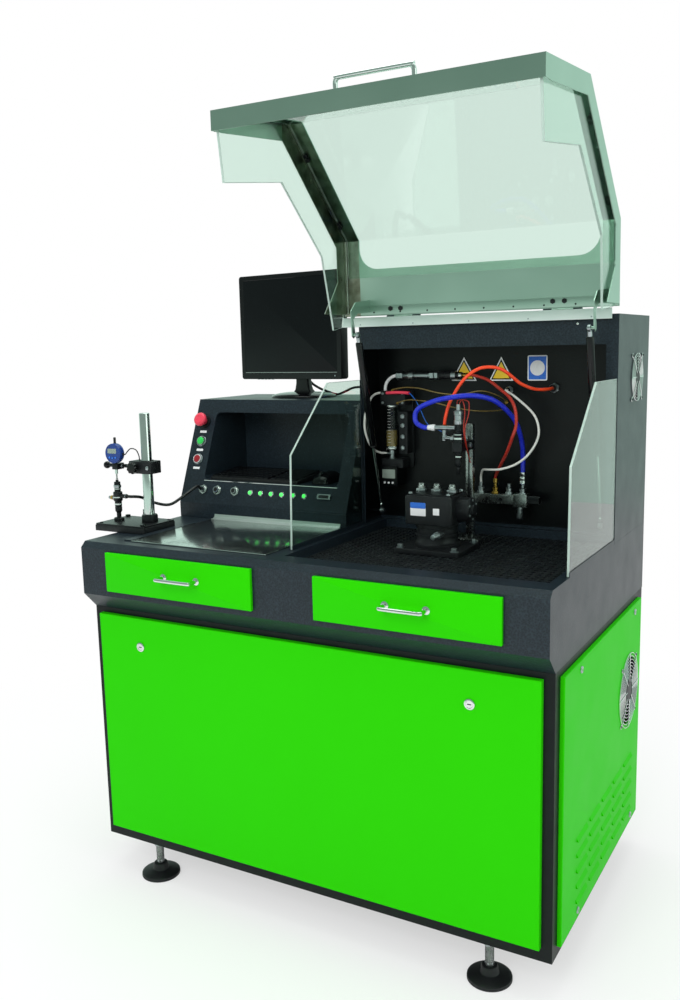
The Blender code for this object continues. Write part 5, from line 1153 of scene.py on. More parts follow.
class BENCH_OT_struts(bpy.types.Operator):
    """Gas struts: black tube with its collar and eye, chrome rod with its eye."""

    bl_idname = "bench.struts"
    bl_label = "Gas struts"

    def execute(self, context):
        foot, head = np.array((0.522, 0.938)), np.array((0.405, 1.403))
        length = float(np.linalg.norm(head - foot))
        way = (head - foot) / length
        for name, x in (("left", -0.628), ("right", -0.044)):
            at = [(x, *(foot + way * d)) for d in (0.0, length)]
            aim = (0.0, *way)
            eye = mm(4.3, -3.5, 7.8, -3.5, 8.4, -2.9, 8.4, 2.9, 7.8, 3.5, 4.3, 3.5)
            shaft = mm(0, 7, 3.6, 7, 6, 8.5, 6, 20, 4, 21.5, 4, 240, 0, 240)
            parts = [(lathe(shaft, at[0], aim, 24), "bright_chrome")]
            put(parts, "zinc_plate", hoop(eye, at[0], "X", 32))
            node = f"strut_{name}_rod"
            piece(node + "_chrome", f"strut_{name}_lower", parts, (node,))
            end = length - 0.0185
            body = [(0.0043, 0.179), (0.008, 0.179), (0.0088, 0.18), (0.009, 0.1815), (0.009, 0.185),
                    (0.0086, 0.1855), (0.0086, 0.187), (0.009, 0.1875), (0.009, end - 0.004),
                    (0.008, end - 0.0008), (0.006, end), (0.0043, end), (0.0043, 0.179)]
            neck = [(0, length - 0.02), (0.0052, length - 0.02), (0.0052, length - 0.007),
                    (0, length - 0.007)]
            parts = [
                (aimed(hoop(body[:-1], steps=40), at[0], aim), "gloss_abs"),
                (lathe(neck, at[0], aim, 24), "zinc_plate"),
                (hoop([(r * 0.92 if r > 0.005 else r, h) for r, h in eye], at[1], "X", 32),
                 "zinc_plate"),
            ]
            node = f"strut_{name}_tube"
            piece(node + "_black", f"strut_{name}_upper", parts, (node,))
        clips = []
        for x, side in ((-0.628, -1), (-0.044, 1)):
            low = (x - side * 0.0045, *foot)
            clip = mm(0, 0, 6.2, 0, 6.2, 1.2, 4.5, 2.4, 0, 2.4)
            put(clips, "zinc_plate", lathe(clip, low, (-side, 0, 0), 28))
        piece("strut_foot_clips", "bench", clips)
        return {"FINISHED"}


# Console


class BENCH_OT_buttons(bpy.types.Operator):
    """Emergency stop, start and stop buttons with their collars, and the blank label plates."""

    bl_idname = "bench.buttons"
    bl_label = "Buttons"

    def execute(self, context):
        head = mm(0, -18, 9.8, -18, 9.8, 16, 12.5, 17.2, 17.2, 18.6, 19.3, 20.8, 19.9, 23.8, 19.6, 27.8,
                  18.2, 30.8, 15.2, 32.8, 11, 33.7, 10.4, 33.3, 0, 33.5)
        stop = fluted(head, (0, 0, 0), lobes=30, depth=0.01, steps=120)
        parts = [(on_slope(stop, BUTTON_X, STOP_Z), "signal_red")]
        piece("emergency_stop_head", "emergency_stop", parts, ("emergency_stop",))
        dome = mm(0, -14, 9.8, -14, 9.8, 4.6, 11.2, 4.8, 11.2, 6.2, 10.2, 8, 7.5, 9.1, 4, 9.5, 0, 9.5)
        ring = mm(11.3, 4.6, 13, 4.6, 13.1, 6.2, 12.4, 7.4, 11.3, 7)
        for name, z, look, rim in (("start_button", START_Z, "signal_green", "bright_chrome"),
                                   ("stop_button", HALT_Z, "signal_dark_red", "moulded_white")):
            parts = [(on_slope(turned(dome, steps=56), BUTTON_X, z), look),
                     (on_slope(hoop(ring, steps=56), BUTTON_X, z), rim)]
            piece(name + "_cap", name, parts, (name,))
        collars = []
        wide = mm(10.6, 0.2, 19, 0.2, 19.2, 2, 17.6, 4.6, 12.8, 6, 10.6, 6)
        small = mm(13.6, 0.2, 15.8, 0.2, 16, 1.8, 15, 3.2, 13.6, 3.4)
        put(collars, "black_oxide", on_slope(hoop(wide, steps=56), BUTTON_X, STOP_Z))
        for z in (START_Z, HALT_Z):
            put(collars, "zinc_plate", on_slope(hoop(small, steps=56), BUTTON_X, z))
        for z in (1.1405, 1.0895, 1.0395):
            plate = slab(round_rect((-0.0115, 0.0115), (-0.0034, 0.0034), 0.0008), 0.0002, 0.0008, 0.0001)
            put(collars, "moulded_white", on_slope(plate, BUTTON_X, z))
        piece("button_collars", "bench", collars)
        return {"FINISHED"}


class BENCH_OT_console(bpy.types.Operator):
    """Lamp board with six lit lamps, three chrome sockets, a data socket and the shelf's trim."""

    bl_idname = "bench.console"
    bl_label = "Console fittings"

    def execute(self, context):
        spots = -0.983 + 0.0346 * np.arange(6)
        board = slab(round_rect((-0.1035, 0.1035), (-0.01, 0.01), 0.001), -0.0046, -0.0023, 0.0003)
        lens = mm(0, -2.3, 4.9, -2.3, 4.9, 1.8, 4.6, 3.6, 3.6, 5.2, 1.9, 6, 0, 6.2)
        parts = [(on_slope(board, -0.8965, LAMP_Z), "textured_abs")]
        parts += [(on_slope(turned(lens, steps=28), x, LAMP_Z), "lit_lens") for x in spots]
        piece("lamp_board_lit", "bench", parts, ("lamp_board",))

        bezel = mm(5.3, 0.2, 8, 0.2, 8.1, 1, 7.2, 2.2, 5.3, 2.6)
        parts = [(on_slope(hoop(bezel, steps=36), x, LAMP_Z), "bright_chrome") for x in spots]
        flange = hexagon((0, 0), 0.0245, (0.0001, 0.0036), "Z", 0.0008)
        sleeve = mm(0, 3, 9.4, 3, 9.4, 4.2, 8.8, 4.8, 8.8, 11.2, 8.4, 12.1, 6.6, 12.1, 6.2, 10, 0, 10)
        for x in (-1.144, -1.095, -1.034):
            put(parts, "bright_chrome",
                on_slope(flange, x, SOCKET_Z),
                on_slope(fluted(sleeve, (0, 0, 0), lobes=24, depth=0.04), x, SOCKET_Z))
        plug = mm(0, 10, 6, 10, 6, 12.2, 5.4, 12.4, 0, 12.4)
        for x in (-1.095, -1.034):
            put(parts, "textured_abs", on_slope(turned(plug, steps=32), x, SOCKET_Z))
        shell = slab(round_rect((-0.02, 0.02), (-0.007, 0.007), 0.002), 0.0001, 0.0064, 0.0006)
        core = slab(round_rect((-0.015, 0.015), (-0.0042, 0.0042), 0.0018), 0.0063, 0.0068, 0.0002)
        put(parts, "zinc_plate", on_slope(shell, -0.746, SOCKET_Z))
        put(parts, "textured_abs", on_slope(core, -0.746, SOCKET_Z))
        for side in (-0.0176, 0.0176):
            jack = hexagon((side, 0), 0.0042, (0.0063, 0.0088), "Z", 0.0004)
            put(parts, "bright_chrome", on_slope(jack, -0.746, SOCKET_Z))
        front = CONSOLE_FOOT[0] + (1.008 - CONSOLE_FOOT[1]) * math.tan(SLOPE)
        depth = (front - 0.0012, front + 0.006)
        trim = block((-1.149, -0.713), depth, (1.0064, 1.0079), 0.0, 0.0004, "X")
        put(parts, "bright_chrome", trim)
        piece("console_fittings", "bench", parts)
        return {"FINISHED"}


class BENCH_OT_keyboard(bpy.types.Operator):
    """Keyboard with dished key caps, and the mouse with its wheel."""

    bl_idname = "bench.keyboard"
    bl_label = "Keyboard and mouse"

    def execute(self, context):
        top = 1.0083

        def deck(y):
            return top + 0.0078 + 0.012 * (y - 0.438) / 0.136

        side = np.array([(0.438, top), (0.438, top + 0.0078), (0.574, top + 0.0198), (0.575, top)])
        parts = [(slab(side, -1.135, -0.845, 0.0012, "X", 2), "textured_abs")]
        row = 0.4425 + 0.0212 * np.arange(6)
        main = [
            (-1.13 + 0.01462 * k, -1.13 + 0.01462 * (k + 1) - 0.0012, y, y + 0.0188)
            for y in row[1:] for k in range(13)
        ]
        pad = [
            (-0.93 + 0.016 * k, -0.93 + 0.016 * (k + 1) - 0.0012, y, y + 0.0188)
            for y in row for k in range(5)
        ]
        widths = (0.019, 0.019, 0.019, 0.082, 0.019, 0.016, 0.016)
        ends = -1.13 + np.cumsum((0.0, *widths))
        front = [(a, b - 0.0012, row[0], row[0] + 0.0188) for a, b in zip(ends[:-1], ends[1:])]
        caps = key_caps(main + pad + front, deck)
        put(parts, "gloss_abs", caps)
        piece("keyboard_keys", "bench", parts, ("keyboard",), angle=50.0)

        shell = mouse_shell((-0.79, 0.505, top + 0.0012), (0.03, 0.053), 0.0325)
        sole = slab(round_rect((-0.816, -0.764), (0.456, 0.554), 0.02), top, top + 0.0016, 0.0004)
        wheel = mm(4, -3, 9.2, -3, 10, -2, 10, 2, 9.2, 3, 4, 3)
        wheel = hoop(wheel, (-0.79, 0.474, top + 0.0222), "X", 40)
        parts = [(shell, "gloss_abs"), (sole, "textured_abs"), (wheel, "nitrile_rubber")]
        piece("mouse_shell", "bench", parts, ("mouse",))
        return {"FINISHED"}


class BENCH_OT_monitor(bpy.types.Operator):
    """Flat screen with a glossy bezel, vented rear hump and tilting lugs, on an oval base."""

    bl_idname = "bench.monitor"
    bl_label = "Monitor"

    def execute(self, context):
        outer = round_rect((-0.185, 0.185), (1.286, 1.585), 0.008)
        view = round_rect((-0.1695, 0.1695), (1.3095, 1.5715), 0.0015)
        parts = [(slab(outer, -0.059, -0.025, 0.004, "Y"), "textured_abs"),
                 (opened(outer, view, -0.06, -0.0575, "Y", 0.001), "gloss_abs"),
                 (slab(view, -0.0592, -0.0586, 0.0001, "Y"), "screen_glass")]
        hump = [
            np.insert(round_rect((-w, w), (1.4355 - h, 1.4355 + h), r), 1, y, axis=1)
            for w, h, r, y in ((0.165, 0.132, 0.02, -0.027), (0.158, 0.125, 0.022, -0.0215),
                               (0.128, 0.096, 0.026, -0.0178), (0.122, 0.09, 0.028, -0.0165),
                               (0.116, 0.084, 0.028, -0.0162))
        ]
        put(parts, "textured_abs", rings(np.array(hump)))
        for z in 1.372 + 0.0062 * np.arange(8):
            for x in ((-0.09, -0.05), (0.05, 0.09)):
                vent = block(x, (-0.0166, -0.0158), (z, z + 0.003), 0.001, 0.0003, "Y")
                put(parts, "black_oxide", vent)
        line = block((-0.17, 0.17), (-0.0606, -0.0596), (1.305, 1.3062), 0.0003, 0.0002, "Y")
        put(parts, "bright_chrome", line)
        for x in -0.128 + 0.0135 * np.arange(5):
            key = block((x, x + 0.008), (-0.056, -0.052), (1.2846, 1.2872), 0.0012, 0.0004)
            put(parts, "zinc_plate", key)
        put(parts, "zinc_plate", bar((0.1625, 1.296), 0.0022, (-0.0604, -0.059), "Y", 0.0003))
        for side in (-1, 1):
            span = sorted((side * 0.03, side * 0.0385))
            lug = round_rect((-0.02, 0.011), (1.43, 1.45), 0.007)
            put(parts, "textured_abs", slab(lug, *span, 0.0008, "X"))
            cap = sorted((side * 0.0385, side * 0.0405))
            put(parts, "black_oxide", bar(SCREEN_AXIS, 0.006, cap, "X", 0.0006))
        piece("monitor_dressed", "monitor", carried(parts, by_monitor), ("monitor",))

        base = 1.2323
        profile = mm(0, 0, 97.5, 0, 100, 1.2, 99.6, 3.2, 97, 5.8, 90, 8.6, 76, 11.6, 56, 14, 30, 15.4,
                     0, 15.8)
        oval = moved(turned(profile, (0, 0, base), steps=96), Matrix.Diagonal((1, 0.85, 1, 1)))
        neck = [
            np.column_stack((round_rect((-w, w), (-0.007, d), 0.0045), np.full(28, z)))
            for w, d, z in ((0.034, 0.018, base + 0.013), (0.027, 0.015, base + 0.022),
                            (0.023, 0.0125, base + 0.04), (0.021, 0.0115, 1.4),
                            (0.022, 0.012, 1.433), (0.0215, 0.011, 1.447))
        ]
        parts = [(oval, "gloss_abs"), (rings(np.array(neck)), "gloss_abs"),
                 (bar(SCREEN_AXIS, 0.009, (-0.029, 0.029), "X", 0.001), "textured_abs"),
                 (bar(SCREEN_AXIS, 0.004, (-0.042, 0.042), "X", 0.0004), "zinc_plate")]
        piece("monitor_stand_oval", "bench", carried(parts, by_monitor), ("monitor_stand",))
        return {"FINISHED"}


class BENCH_OT_gauge(bpy.types.Operator):
    """Gauge stand: ground base, chrome column, clamp, digital indicator and an injector."""

    bl_idname = "bench.gauge"
    bl_label = "Gauge stand"

    def execute(self, context):
        (cx, cy), (gx, gy) = COLUMN_AT, GAUGE_AT
        foot = (-1.297, -1.127), (0.132, 0.262)
        parts = [
            (block(*foot, (0.9023, 0.918), 0.004, 0.0014), "painted_casting"),
            (block((-1.2955, -1.1285), (0.1335, 0.2605), (0.9178, 0.9222), 0.0035, 0.0008),
             "black_oxide"),
        ]
        flange = mm(0, 921.5, 21.2, 921.5, 21.6, 922.5, 21.6, 937.5, 20, 941.5, 16, 943, 0, 943)
        put(parts, "black_oxide", turned(flange, (cx, cy, 0), steps=56))
        column = mm(0, 942.5, 14, 942.5, 14, 1212, 13.2, 1213.4, 12, 1214, 0, 1214)
        put(parts, "bright_chrome", turned(column, (cx, cy, 0), steps=56))
        knurl = mm(0, 0, 11.5, 0, 12.2, 1, 12.2, 12.5, 11.5, 13.8, 4.5, 14.2, 0, 14.2)
        nut_at = (-1.212, 0.248, 0.9335)
        put(parts, "machined_steel", fluted(knurl, nut_at, lobes=30, depth=0.05, steps=120))
        put(parts, "zinc_plate", bar((-1.212, 0.248), 0.0044, (0.9215, 0.9345)))
        for spot in ((-1.14, 0.145), (-1.285, 0.25)):
            put(parts, "black_oxide", hexagon(spot, 0.0125, (0.9222, 0.927), "Z", 0.0008))
        for spot in ((-1.14, 0.25), (-1.285, 0.145)):
            put(parts, "black_oxide", screw((*spot, 0.9221), UP, 0.005, 0.0018))
        piece("gauge_stand_ground", "bench", parts, ("gauge_stand",))

        body = round_rect((-1.216, -1.139), (0.186, 0.232), 0.006, 5)
        parts = [(slab(body, 1.054, 1.0868, 0.0016), "painted_casting")]
        collar = mm(14.3, 1053, 18.5, 1053, 19, 1054, 19, 1087, 18, 1088.5, 14.3, 1088.5)
        put(parts, "painted_casting", hoop(collar, (cx, cy, 0), steps=56))
        slit = block((-1.14, -1.137), (0.205, 0.207), (1.0545, 1.0865), 0, 0.0002)
        put(parts, "black_oxide", slit)
        put(parts, "zinc_plate", nut((-1.148, 0.1862, 1.0705), FRONT, 0.01, 0.005))
        knob = mm(0, 0, 5.5, 0, 5.5, 6, 14, 7.5, 16, 9.5, 16, 18, 14.5, 20.2, 6, 20.8, 0, 20.6)
        put(parts, "gloss_abs", fluted(knob, (-1.19, 0.1865, 1.0705), FRONT, 9, 0.14, 126))
        put(parts, "black_oxide", bar((0.207, 1.0705), 0.005, (-1.304, -1.214), "X"))
        ball = np.linspace(0, np.pi, 17)
        ball = np.stack((0.01 * np.sin(ball), 0.01 * np.cos(ball)), -1)
        ball[[0, -1], 0] = 0.0
        put(parts, "gloss_abs", turned(ball, (-1.31, 0.207, 1.0705), steps=32))
        grip = round_rect((gx - 0.01, gx + 0.01), (0.182, 0.213), 0.0045, 4)
        put(parts, "black_oxide", slab(grip, 1.0625, 1.0785, 0.001))
        put(parts, "zinc_plate", screw((gx + 0.01, 0.199, 1.0705), RIGHT, 0.0035, 0.0028))
        piece("gauge_clamp_cast", "gauge_arm", parts, ("gauge_clamp",))

        case = mm(0, -8, 23.5, -8, 26.2, -6.2, 27, -3.5, 27, 8.5, 26.2, 10.8, 24.5, 11.6, 23.8, 11.2,
                  23.2, 10.4, 0, 10.4)
        at = (gx, gy, 1.106)
        parts = [(lathe(case, at, FRONT, 64), "signal_blue")]
        window = round_rect((gx - 0.0175, gx + 0.0125), (1.106, 1.119), 0.002)
        put(parts, "display_grey", slab(window, gy - 0.0112, gy - 0.01, 0.0003, "Y"))
        for index, x in enumerate((-0.012, -0.0015, 0.009)):
            spot = (gx + x, 1.095 - 0.0012 * (index == 1))
            put(parts, "sticker_blue", bar(spot, 0.003, (gy - 0.012, gy - 0.01), "Y", 0.0005))
        stem = mm(2.3, 1050, 3.4, 1050, 4, 1050.6, 4, 1080.5, 5.6, 1081.2, 5.6, 1083.5, 2.3, 1083.5)
        put(parts, "bright_chrome", hoop(stem, (gx, gy, 0), steps=32))
        cap = mm(0, 1130, 4.6, 1130, 4.6, 1133, 3.4, 1134, 3.4, 1147.5, 2.8, 1148.8, 0, 1149)
        put(parts, "textured_abs",
            fluted(cap, (gx, gy, 0), lobes=16, depth=0.06),
            bar((gy, 1.104), 0.0034, (gx + 0.0255, gx + 0.03), "X", 0.0005))
        piece("dial_indicator_case", "gauge_arm", parts, ("dial_indicator",))
        tip = mm(0, 1034.3, 1, 1034.5, 1.8, 1035.2, 2.2, 1036.4, 3.2, 1036.7, 3.2, 1037.6, 2, 1037.9,
                 2, 1064, 0, 1064)
        piece("indicator_spindle_tip", "indicator_spindle",
              [(turned(tip, (gx, gy, 0), steps=28), "machined_steel")], ("indicator_spindle",))

        body = mm(0, 922.3, 13.4, 922.3, 14, 923, 14, 929.2, 12.8, 930.5, 6.2, 931.8, 6.2, 944.5,
                  7.8, 946.2, 9.5, 949.2, 9.5, 960, 9, 960.6, 9, 961.8, 9.5, 962.4, 9.5, 974.8, 11, 976.2,
                  12.5, 978.2, 12.5, 999.8, 11.2, 1001.2, 8.5, 1002.2, 8.5, 1027.5, 7.8, 1028.4,
                  4.2, 1028.8, 4, 1033.6, 3.4, 1034, 0, 1034)
        parts = [(turned(body, (gx, gy, 0), steps=40), "black_oxide")]
        for ring in ((0.9655, 0.97, 0.0099), (0.985, 0.9885, 0.0129), (1.008, 1.011, 0.0089)):
            put(parts, "bright_chrome", band((gx, gy), *ring))
        put(parts, "zinc_plate", hexagon((gx, gy), 0.018, (1.0125, 1.0205), "Z", 0.0008))
        put(parts, "textured_abs", bar((gy, 0.99), 0.0055, (gx + 0.008, gx + 0.034), "X", 0.0008))
        put(parts, "zinc_plate",
            wire_ring(0.0056, 0.0009, (gx + 0.029, gy, 0.99), "X", 32),
            bar((gy, 0.984), 0.0045, (gx - 0.031, gx - 0.008), "X", 0.0008))
        put(parts, "brass", hexagon((gy, 0.984), 0.0105, (gx - 0.024, gx - 0.017), "X", 0.0006))
        piece("bench_injector_body", "bench", parts, ("bench_injector",))
        return {"FINISHED"}


# Test chamber


class BENCH_OT_pump(bpy.types.Operator):
    """Pump under test: bolted flange, ribbed barrel, head with three delivery valves."""

    bl_idname = "bench.pump"
    bl_label = "Pump"

    def execute(self, context):
        dx, dy = DRIVE_AT
        base = (dx - 0.085, dx + 0.085), (dy - 0.075, dy + 0.075)
        flange = block(*base, (MAT_TOP, 0.893), 0.012, 0.0015)
        parts = [(flange, "painted_casting")]
        for u, v in CORNERS:
            spot = (dx + u * 0.07, dy + v * 0.06)
            put(parts, "zinc_plate",
                lathe(mm(0, 0, 10.5, 0, 10.5, 1.2, 0, 1.4), (*spot, 0.8928), steps=36),
                hexagon(spot, 0.013, (0.894, 0.902), "Z", 0.001))
        body = mm(0, 892.5, 56, 892.5, 56.5, 894, 56.5, 901, 52, 903.5, 50, 906, 50, 919, 52, 920,
                  52, 926, 50, 927, 50, 940, 52, 941, 52, 956, 48, 958, 0, 958)
        put(parts, "painted_casting", turned(body, (dx, dy, 0), steps=72))
        head = round_rect((dx - 0.062, dx + 0.06), (dy - 0.055, dy + 0.05), 0.01)
        put(parts, "painted_casting", slab(head, 0.95, 1.02, 0.003, "Z", 4))
        lid = inset(head, 0.006)
        put(parts, "black_oxide", slab(lid, 1.0195, 1.0235, 0.0012))
        for u, v in ((-0.05, -0.042), (0.048, -0.042), (-0.05, 0.037), (0.048, 0.037)):
            put(parts, "zinc_plate", screw((dx + u, dy + v, 1.0232), UP, 0.005, 0.004))
        for x in (dx - 0.04, dx, dx + 0.04):
            put(parts, "zinc_plate", hexagon((x, dy), 0.0235, (1.0225, 1.031), "Z", 0.0012))
            valve = mm(0, 1030, 9.5, 1030, 9.5, 1036.5, 7.5, 1038, 7.5, 1042, 6, 1044, 0, 1044.8)
            put(parts, "machined_steel", fluted(valve, (x, dy, 0), lobes=20, depth=0.03))
        cover = mm(0, 0, 29, 0, 30, 1.2, 30, 34, 27, 37.5, 14, 38.5, 13, 43, 0, 43)
        put(parts, "painted_casting", lathe(cover, (dx + 0.055, dy, 0.985), RIGHT, 56))
        for turn in np.radians(np.arange(6) * 60.0 + 30.0):
            spot = (dx + 0.0915, dy + 0.0225 * math.cos(turn), 0.985 + 0.0225 * math.sin(turn))
            put(parts, "zinc_plate", screw(spot, RIGHT, 0.003, 0.0028))
        sensor = mm(0, 0, 8, 0, 8, 28, 6.6, 30, 6.6, 46, 5, 48, 0, 48.5)
        put(parts, "zinc_plate",
            lathe(sensor, (dx + 0.03, dy - 0.046, 0.93), FRONT, 36),
            nut((dx + 0.03, dy - 0.062, 0.93), FRONT, 0.0175, 0.008))
        front = dy - 0.055
        plate = round_rect((dx - 0.045, dx - 0.005), (0.972, 1.004), 0.002)
        put(parts, "moulded_white", slab(plate, front - 0.0006, front + 0.001, 0.0002, "Y"))
        stripe = round_rect((dx - 0.045, dx - 0.005), (0.99, 1.004), 0.002)
        put(parts, "sticker_blue", slab(stripe, front - 0.0009, front, 0.0002, "Y"))
        tag = round_rect((dx + 0.014, dx + 0.03), (0.976, 0.992), 0.001)
        put(parts, "moulded_white", slab(tag, front - 0.0006, front + 0.001, 0.0002, "Y"))
        piece("pump_cast", "bench", parts, ("pump",))
        return {"FINISHED"}


class BENCH_OT_injector(bpy.types.Operator):
    """Injector clamped in its stand: foot, slotted post, arm and a banded injector."""

    bl_idname = "bench.injector"
    bl_label = "Injector stand"

    def execute(self, context):
        px, py = -0.355, 0.472
        foot = round_rect((px - 0.03, px + 0.03), (py - 0.022, py + 0.03), 0.005)
        parts = [(slab(foot, MAT_TOP, 0.893, 0.0012), "machined_steel")]
        for x in (px - 0.021, px + 0.021):
            put(parts, "black_oxide", screw((x, py + 0.004, 0.8928), UP, 0.005, 0.004))
        post = round_rect((px - 0.009, px + 0.009), (py - 0.006, py + 0.012), 0.002, 3)
        put(parts, "machined_steel", slab(post, 0.892, 1.18, 0.0012))
        slot = block((px - 0.002, px + 0.002), (py - 0.0064, py), (0.93, 1.15), 0.0018, 0.0003, "Y")
        put(parts, "black_oxide", slot)
        arm = round_rect((px - 0.013, px + 0.013), (0.386, py + 0.002), 0.006)
        put(parts, "black_oxide", slab(arm, 1.118, 1.142, 0.0015))
        put(parts, "zinc_plate", nut((px + 0.012, 0.44, 1.13), RIGHT, 0.012, 0.006))
        body = mm(0, 1064, 3, 1064.2, 4.5, 1066, 4.5, 1080, 6, 1081.5, 8.5, 1085, 8.5, 1096, 7.8, 1096.8,
                  7.8, 1098.5, 8.5, 1099.3, 8.5, 1111.5, 11.8, 1120, 12, 1121.5, 12, 1164, 11.2, 1165.8,
                  8, 1167.8, 8, 1184.2, 0, 1184.2)
        put(parts, "black_oxide", turned(body, (px, 0.4, 0), steps=44))
        for ring in ((1.1045, 1.108, 0.0089), (1.148, 1.153, 0.0124), (1.1585, 1.161, 0.0124)):
            put(parts, "bright_chrome", band((px, 0.4), *ring))
        upper = mm(0, 1183.8, 10.4, 1184.2, 11, 1185.5, 11, 1194, 9.6, 1195, 9.6, 1206, 11, 1207,
                   11, 1215, 10.2, 1216.6, 5, 1218.4, 5, 1231.2, 4.2, 1232, 0, 1232)
        put(parts, "zinc_plate",
            fluted(upper, (px, 0.4, 0), lobes=12, depth=0.05),
            rod((px - 0.006, 0.408, 1.15), (-0.397, 0.408, 1.15), 0.005),
            hexagon((0.408, 1.15), 0.0125, (-0.378, -0.37), "X", 0.0008))
        elbow = mm(0, 1143, 5.8, 1143.2, 6, 1144, 6, 1156, 5.2, 1156.5, 5.2, 1160, 6, 1160.6, 6, 1169.5,
                   5.2, 1170, 0, 1170)
        put(parts, "zinc_plate",
            turned(elbow, (-0.396, 0.411, 0), steps=32),
            rod((px - 0.004, 0.389, 1.176), (-0.4115, 0.389, 1.176), 0.0058))
        sleeve = mm(0, 0, 6.6, 0, 7.8, 1, 7.8, 6, 6.2, 17.5, 6, 18.8, 0, 18.8)
        put(parts, "moulded_white", lathe(sleeve, (-0.4112, 0.389, 1.176), (-1, 0, 0), 36))
        piece("injector_stand_dressed", "bench", parts, ("injector_stand",))
        return {"FINISHED"}


class BENCH_OT_measuring(bpy.types.Operator):
    """Measuring cylinder: graduated glass between metal blocks, valve stack and meter box."""

    bl_idname = "bench.measuring"
    bl_label = "Measuring cylinder"

    def execute(self, context):
        at = (-0.617, 0.566)
        parts = [
            (block((-0.642, -0.566), (0.593, WALL), (1.05, 1.256), 0.004, 0.0008, "Y"),
             "black_oxide"),
            (block((-0.642, -0.568), (0.548, 0.594), (1.218, 1.256), 0.004, 0.0012),
             "painted_casting"),
            (block((-0.642, -0.577), (0.55, 0.594), (1.05, 1.074), 0.004, 0.0012),
             "painted_casting"),
            (block((-0.594, -0.568), (0.56, 0.594), (1.088, 1.2), 0.003, 0.0012),
             "painted_casting"),
            (block((-0.643, -0.593), (0.545, WALL), (1.0, 1.056), 0.003, 0.0014),
             "hammertone_enamel"),
        ]
        glass = mm(15, 1107, 16.5, 1106, 16.5, 1220, 15, 1220)
        put(parts, "measuring_glass", hoop(glass, (*at, 0), steps=48))
        oil = mm(0, 1107.5, 14.8, 1107.5, 14.8, 1150, 0, 1150)
        put(parts, "hose_amber", turned(oil, (*at, 0), steps=40))
        for low, high in ((1.0975, 1.1075), (1.212, 1.2195)):
            cap = [(0, low), (0.0172, low), (0.0178, low + 0.001), (0.0178, high - 0.001),
                   (0.0172, high), (0, high)]
            put(parts, "bright_chrome", fluted(cap, (*at, 0), lobes=28, depth=0.03))
        drain = mm(0, 1056, 8.5, 1056, 8.5, 1078, 7, 1079, 7, 1086, 8.5, 1087, 8.5, 1098, 0, 1098)
        put(parts, "zinc_plate",
            turned(drain, (*at, 0), steps=36),
            rod((-0.6165, 0.5585, 1.0885), (-0.6276, 0.5585, 1.0885), 0.0034))
        for z in 1.118 + 0.008 * np.arange(12):
            mark = block((-0.621, -0.613), (0.5491, 0.5501), (z, z + 0.0008), 0, 0.0001)
            put(parts, "moulded_white", mark)
        for z in (1.104, 1.134, 1.164, 1.188):
            put(parts, "zinc_plate", nut((-0.581, 0.5605, z), FRONT, 0.011, 0.005))
        for x, z in ((-0.634, 1.249), (-0.576, 1.249), (-0.634, 1.225), (-0.576, 1.225)):
            put(parts, "zinc_plate", screw((x, 0.5482, z), FRONT, 0.0036, 0.0024))
        display = block((-0.637, -0.599), (0.5444, 0.5456), (1.022, 1.046), 0.002, 0.0003, "Y")
        put(parts, "display_grey", display)
        for x in (-0.63, -0.618, -0.606):
            put(parts, "moulded_white", bar((x, 1.01), 0.003, (0.543, 0.5456), "Y", 0.0005))
        piece("measuring_cylinder_glass", "bench", parts, ("measuring_cylinder",))
        return {"FINISHED"}


class BENCH_OT_manifold(bpy.types.Operator):
    """Fuel manifold with its four ports, end block, ribbed plug and outlet."""

    bl_idname = "bench.manifold"
    bl_label = "Fuel manifold"

    def execute(self, context):
        y = 0.551
        parts = [(block((-0.378, -0.262), (0.54, 0.562), (0.972, 0.996), 0.002, 0.001), "machined_steel"),
                 (block((-0.266, -0.23), (0.536, 0.566), (0.966, 1.0), 0.003, 0.0014), "machined_steel")]
        looks = ("zinc_plate", "brass", "zinc_plate", "zinc_plate")
        for x, look in zip((-0.356, -0.317, -0.281, -0.245), looks):
            put(parts, look, hexagon((x, y), 0.0165, (0.995, 1.0025), "Z", 0.001))
            port = mm(0, 1002, 7, 1002, 7, 1007, 8, 1008, 8, 1012, 6.2, 1013.5, 4.2, 1014.5, 4.2, 1023.6,
                      3.6, 1024, 0, 1024)
            put(parts, look, turned(port, (x, y, 0), steps=36))
        plug = mm(0, 0, 11, 0, 11, 29, 9.8, 31, 0, 31.2)
        put(parts, "black_oxide", fluted(plug, (-0.2315, y, 0.984), RIGHT, 18, 0.12, 108))
        outlet = mm(0, 935, 7.6, 935, 8, 935.6, 8, 948, 6.6, 949, 6.6, 957, 8, 958, 8, 968, 0, 968)
        put(parts, "zinc_plate", turned(outlet, (-0.252, y, 0), steps=36))
        for x in (-0.372, -0.276):
            arm = block((x, x + 0.012), (0.558, WALL), (0.976, 0.992), 0.002, 0.0006, "Y")
            put(parts, "zinc_plate", arm)
        for x in (-0.336, -0.298):
            put(parts, "black_oxide", screw((x, 0.5402, 0.984), FRONT, 0.0042, 0.003))
        piece("fuel_manifold_ports", "bench", parts, ("fuel_manifold",))
        return {"FINISHED"}


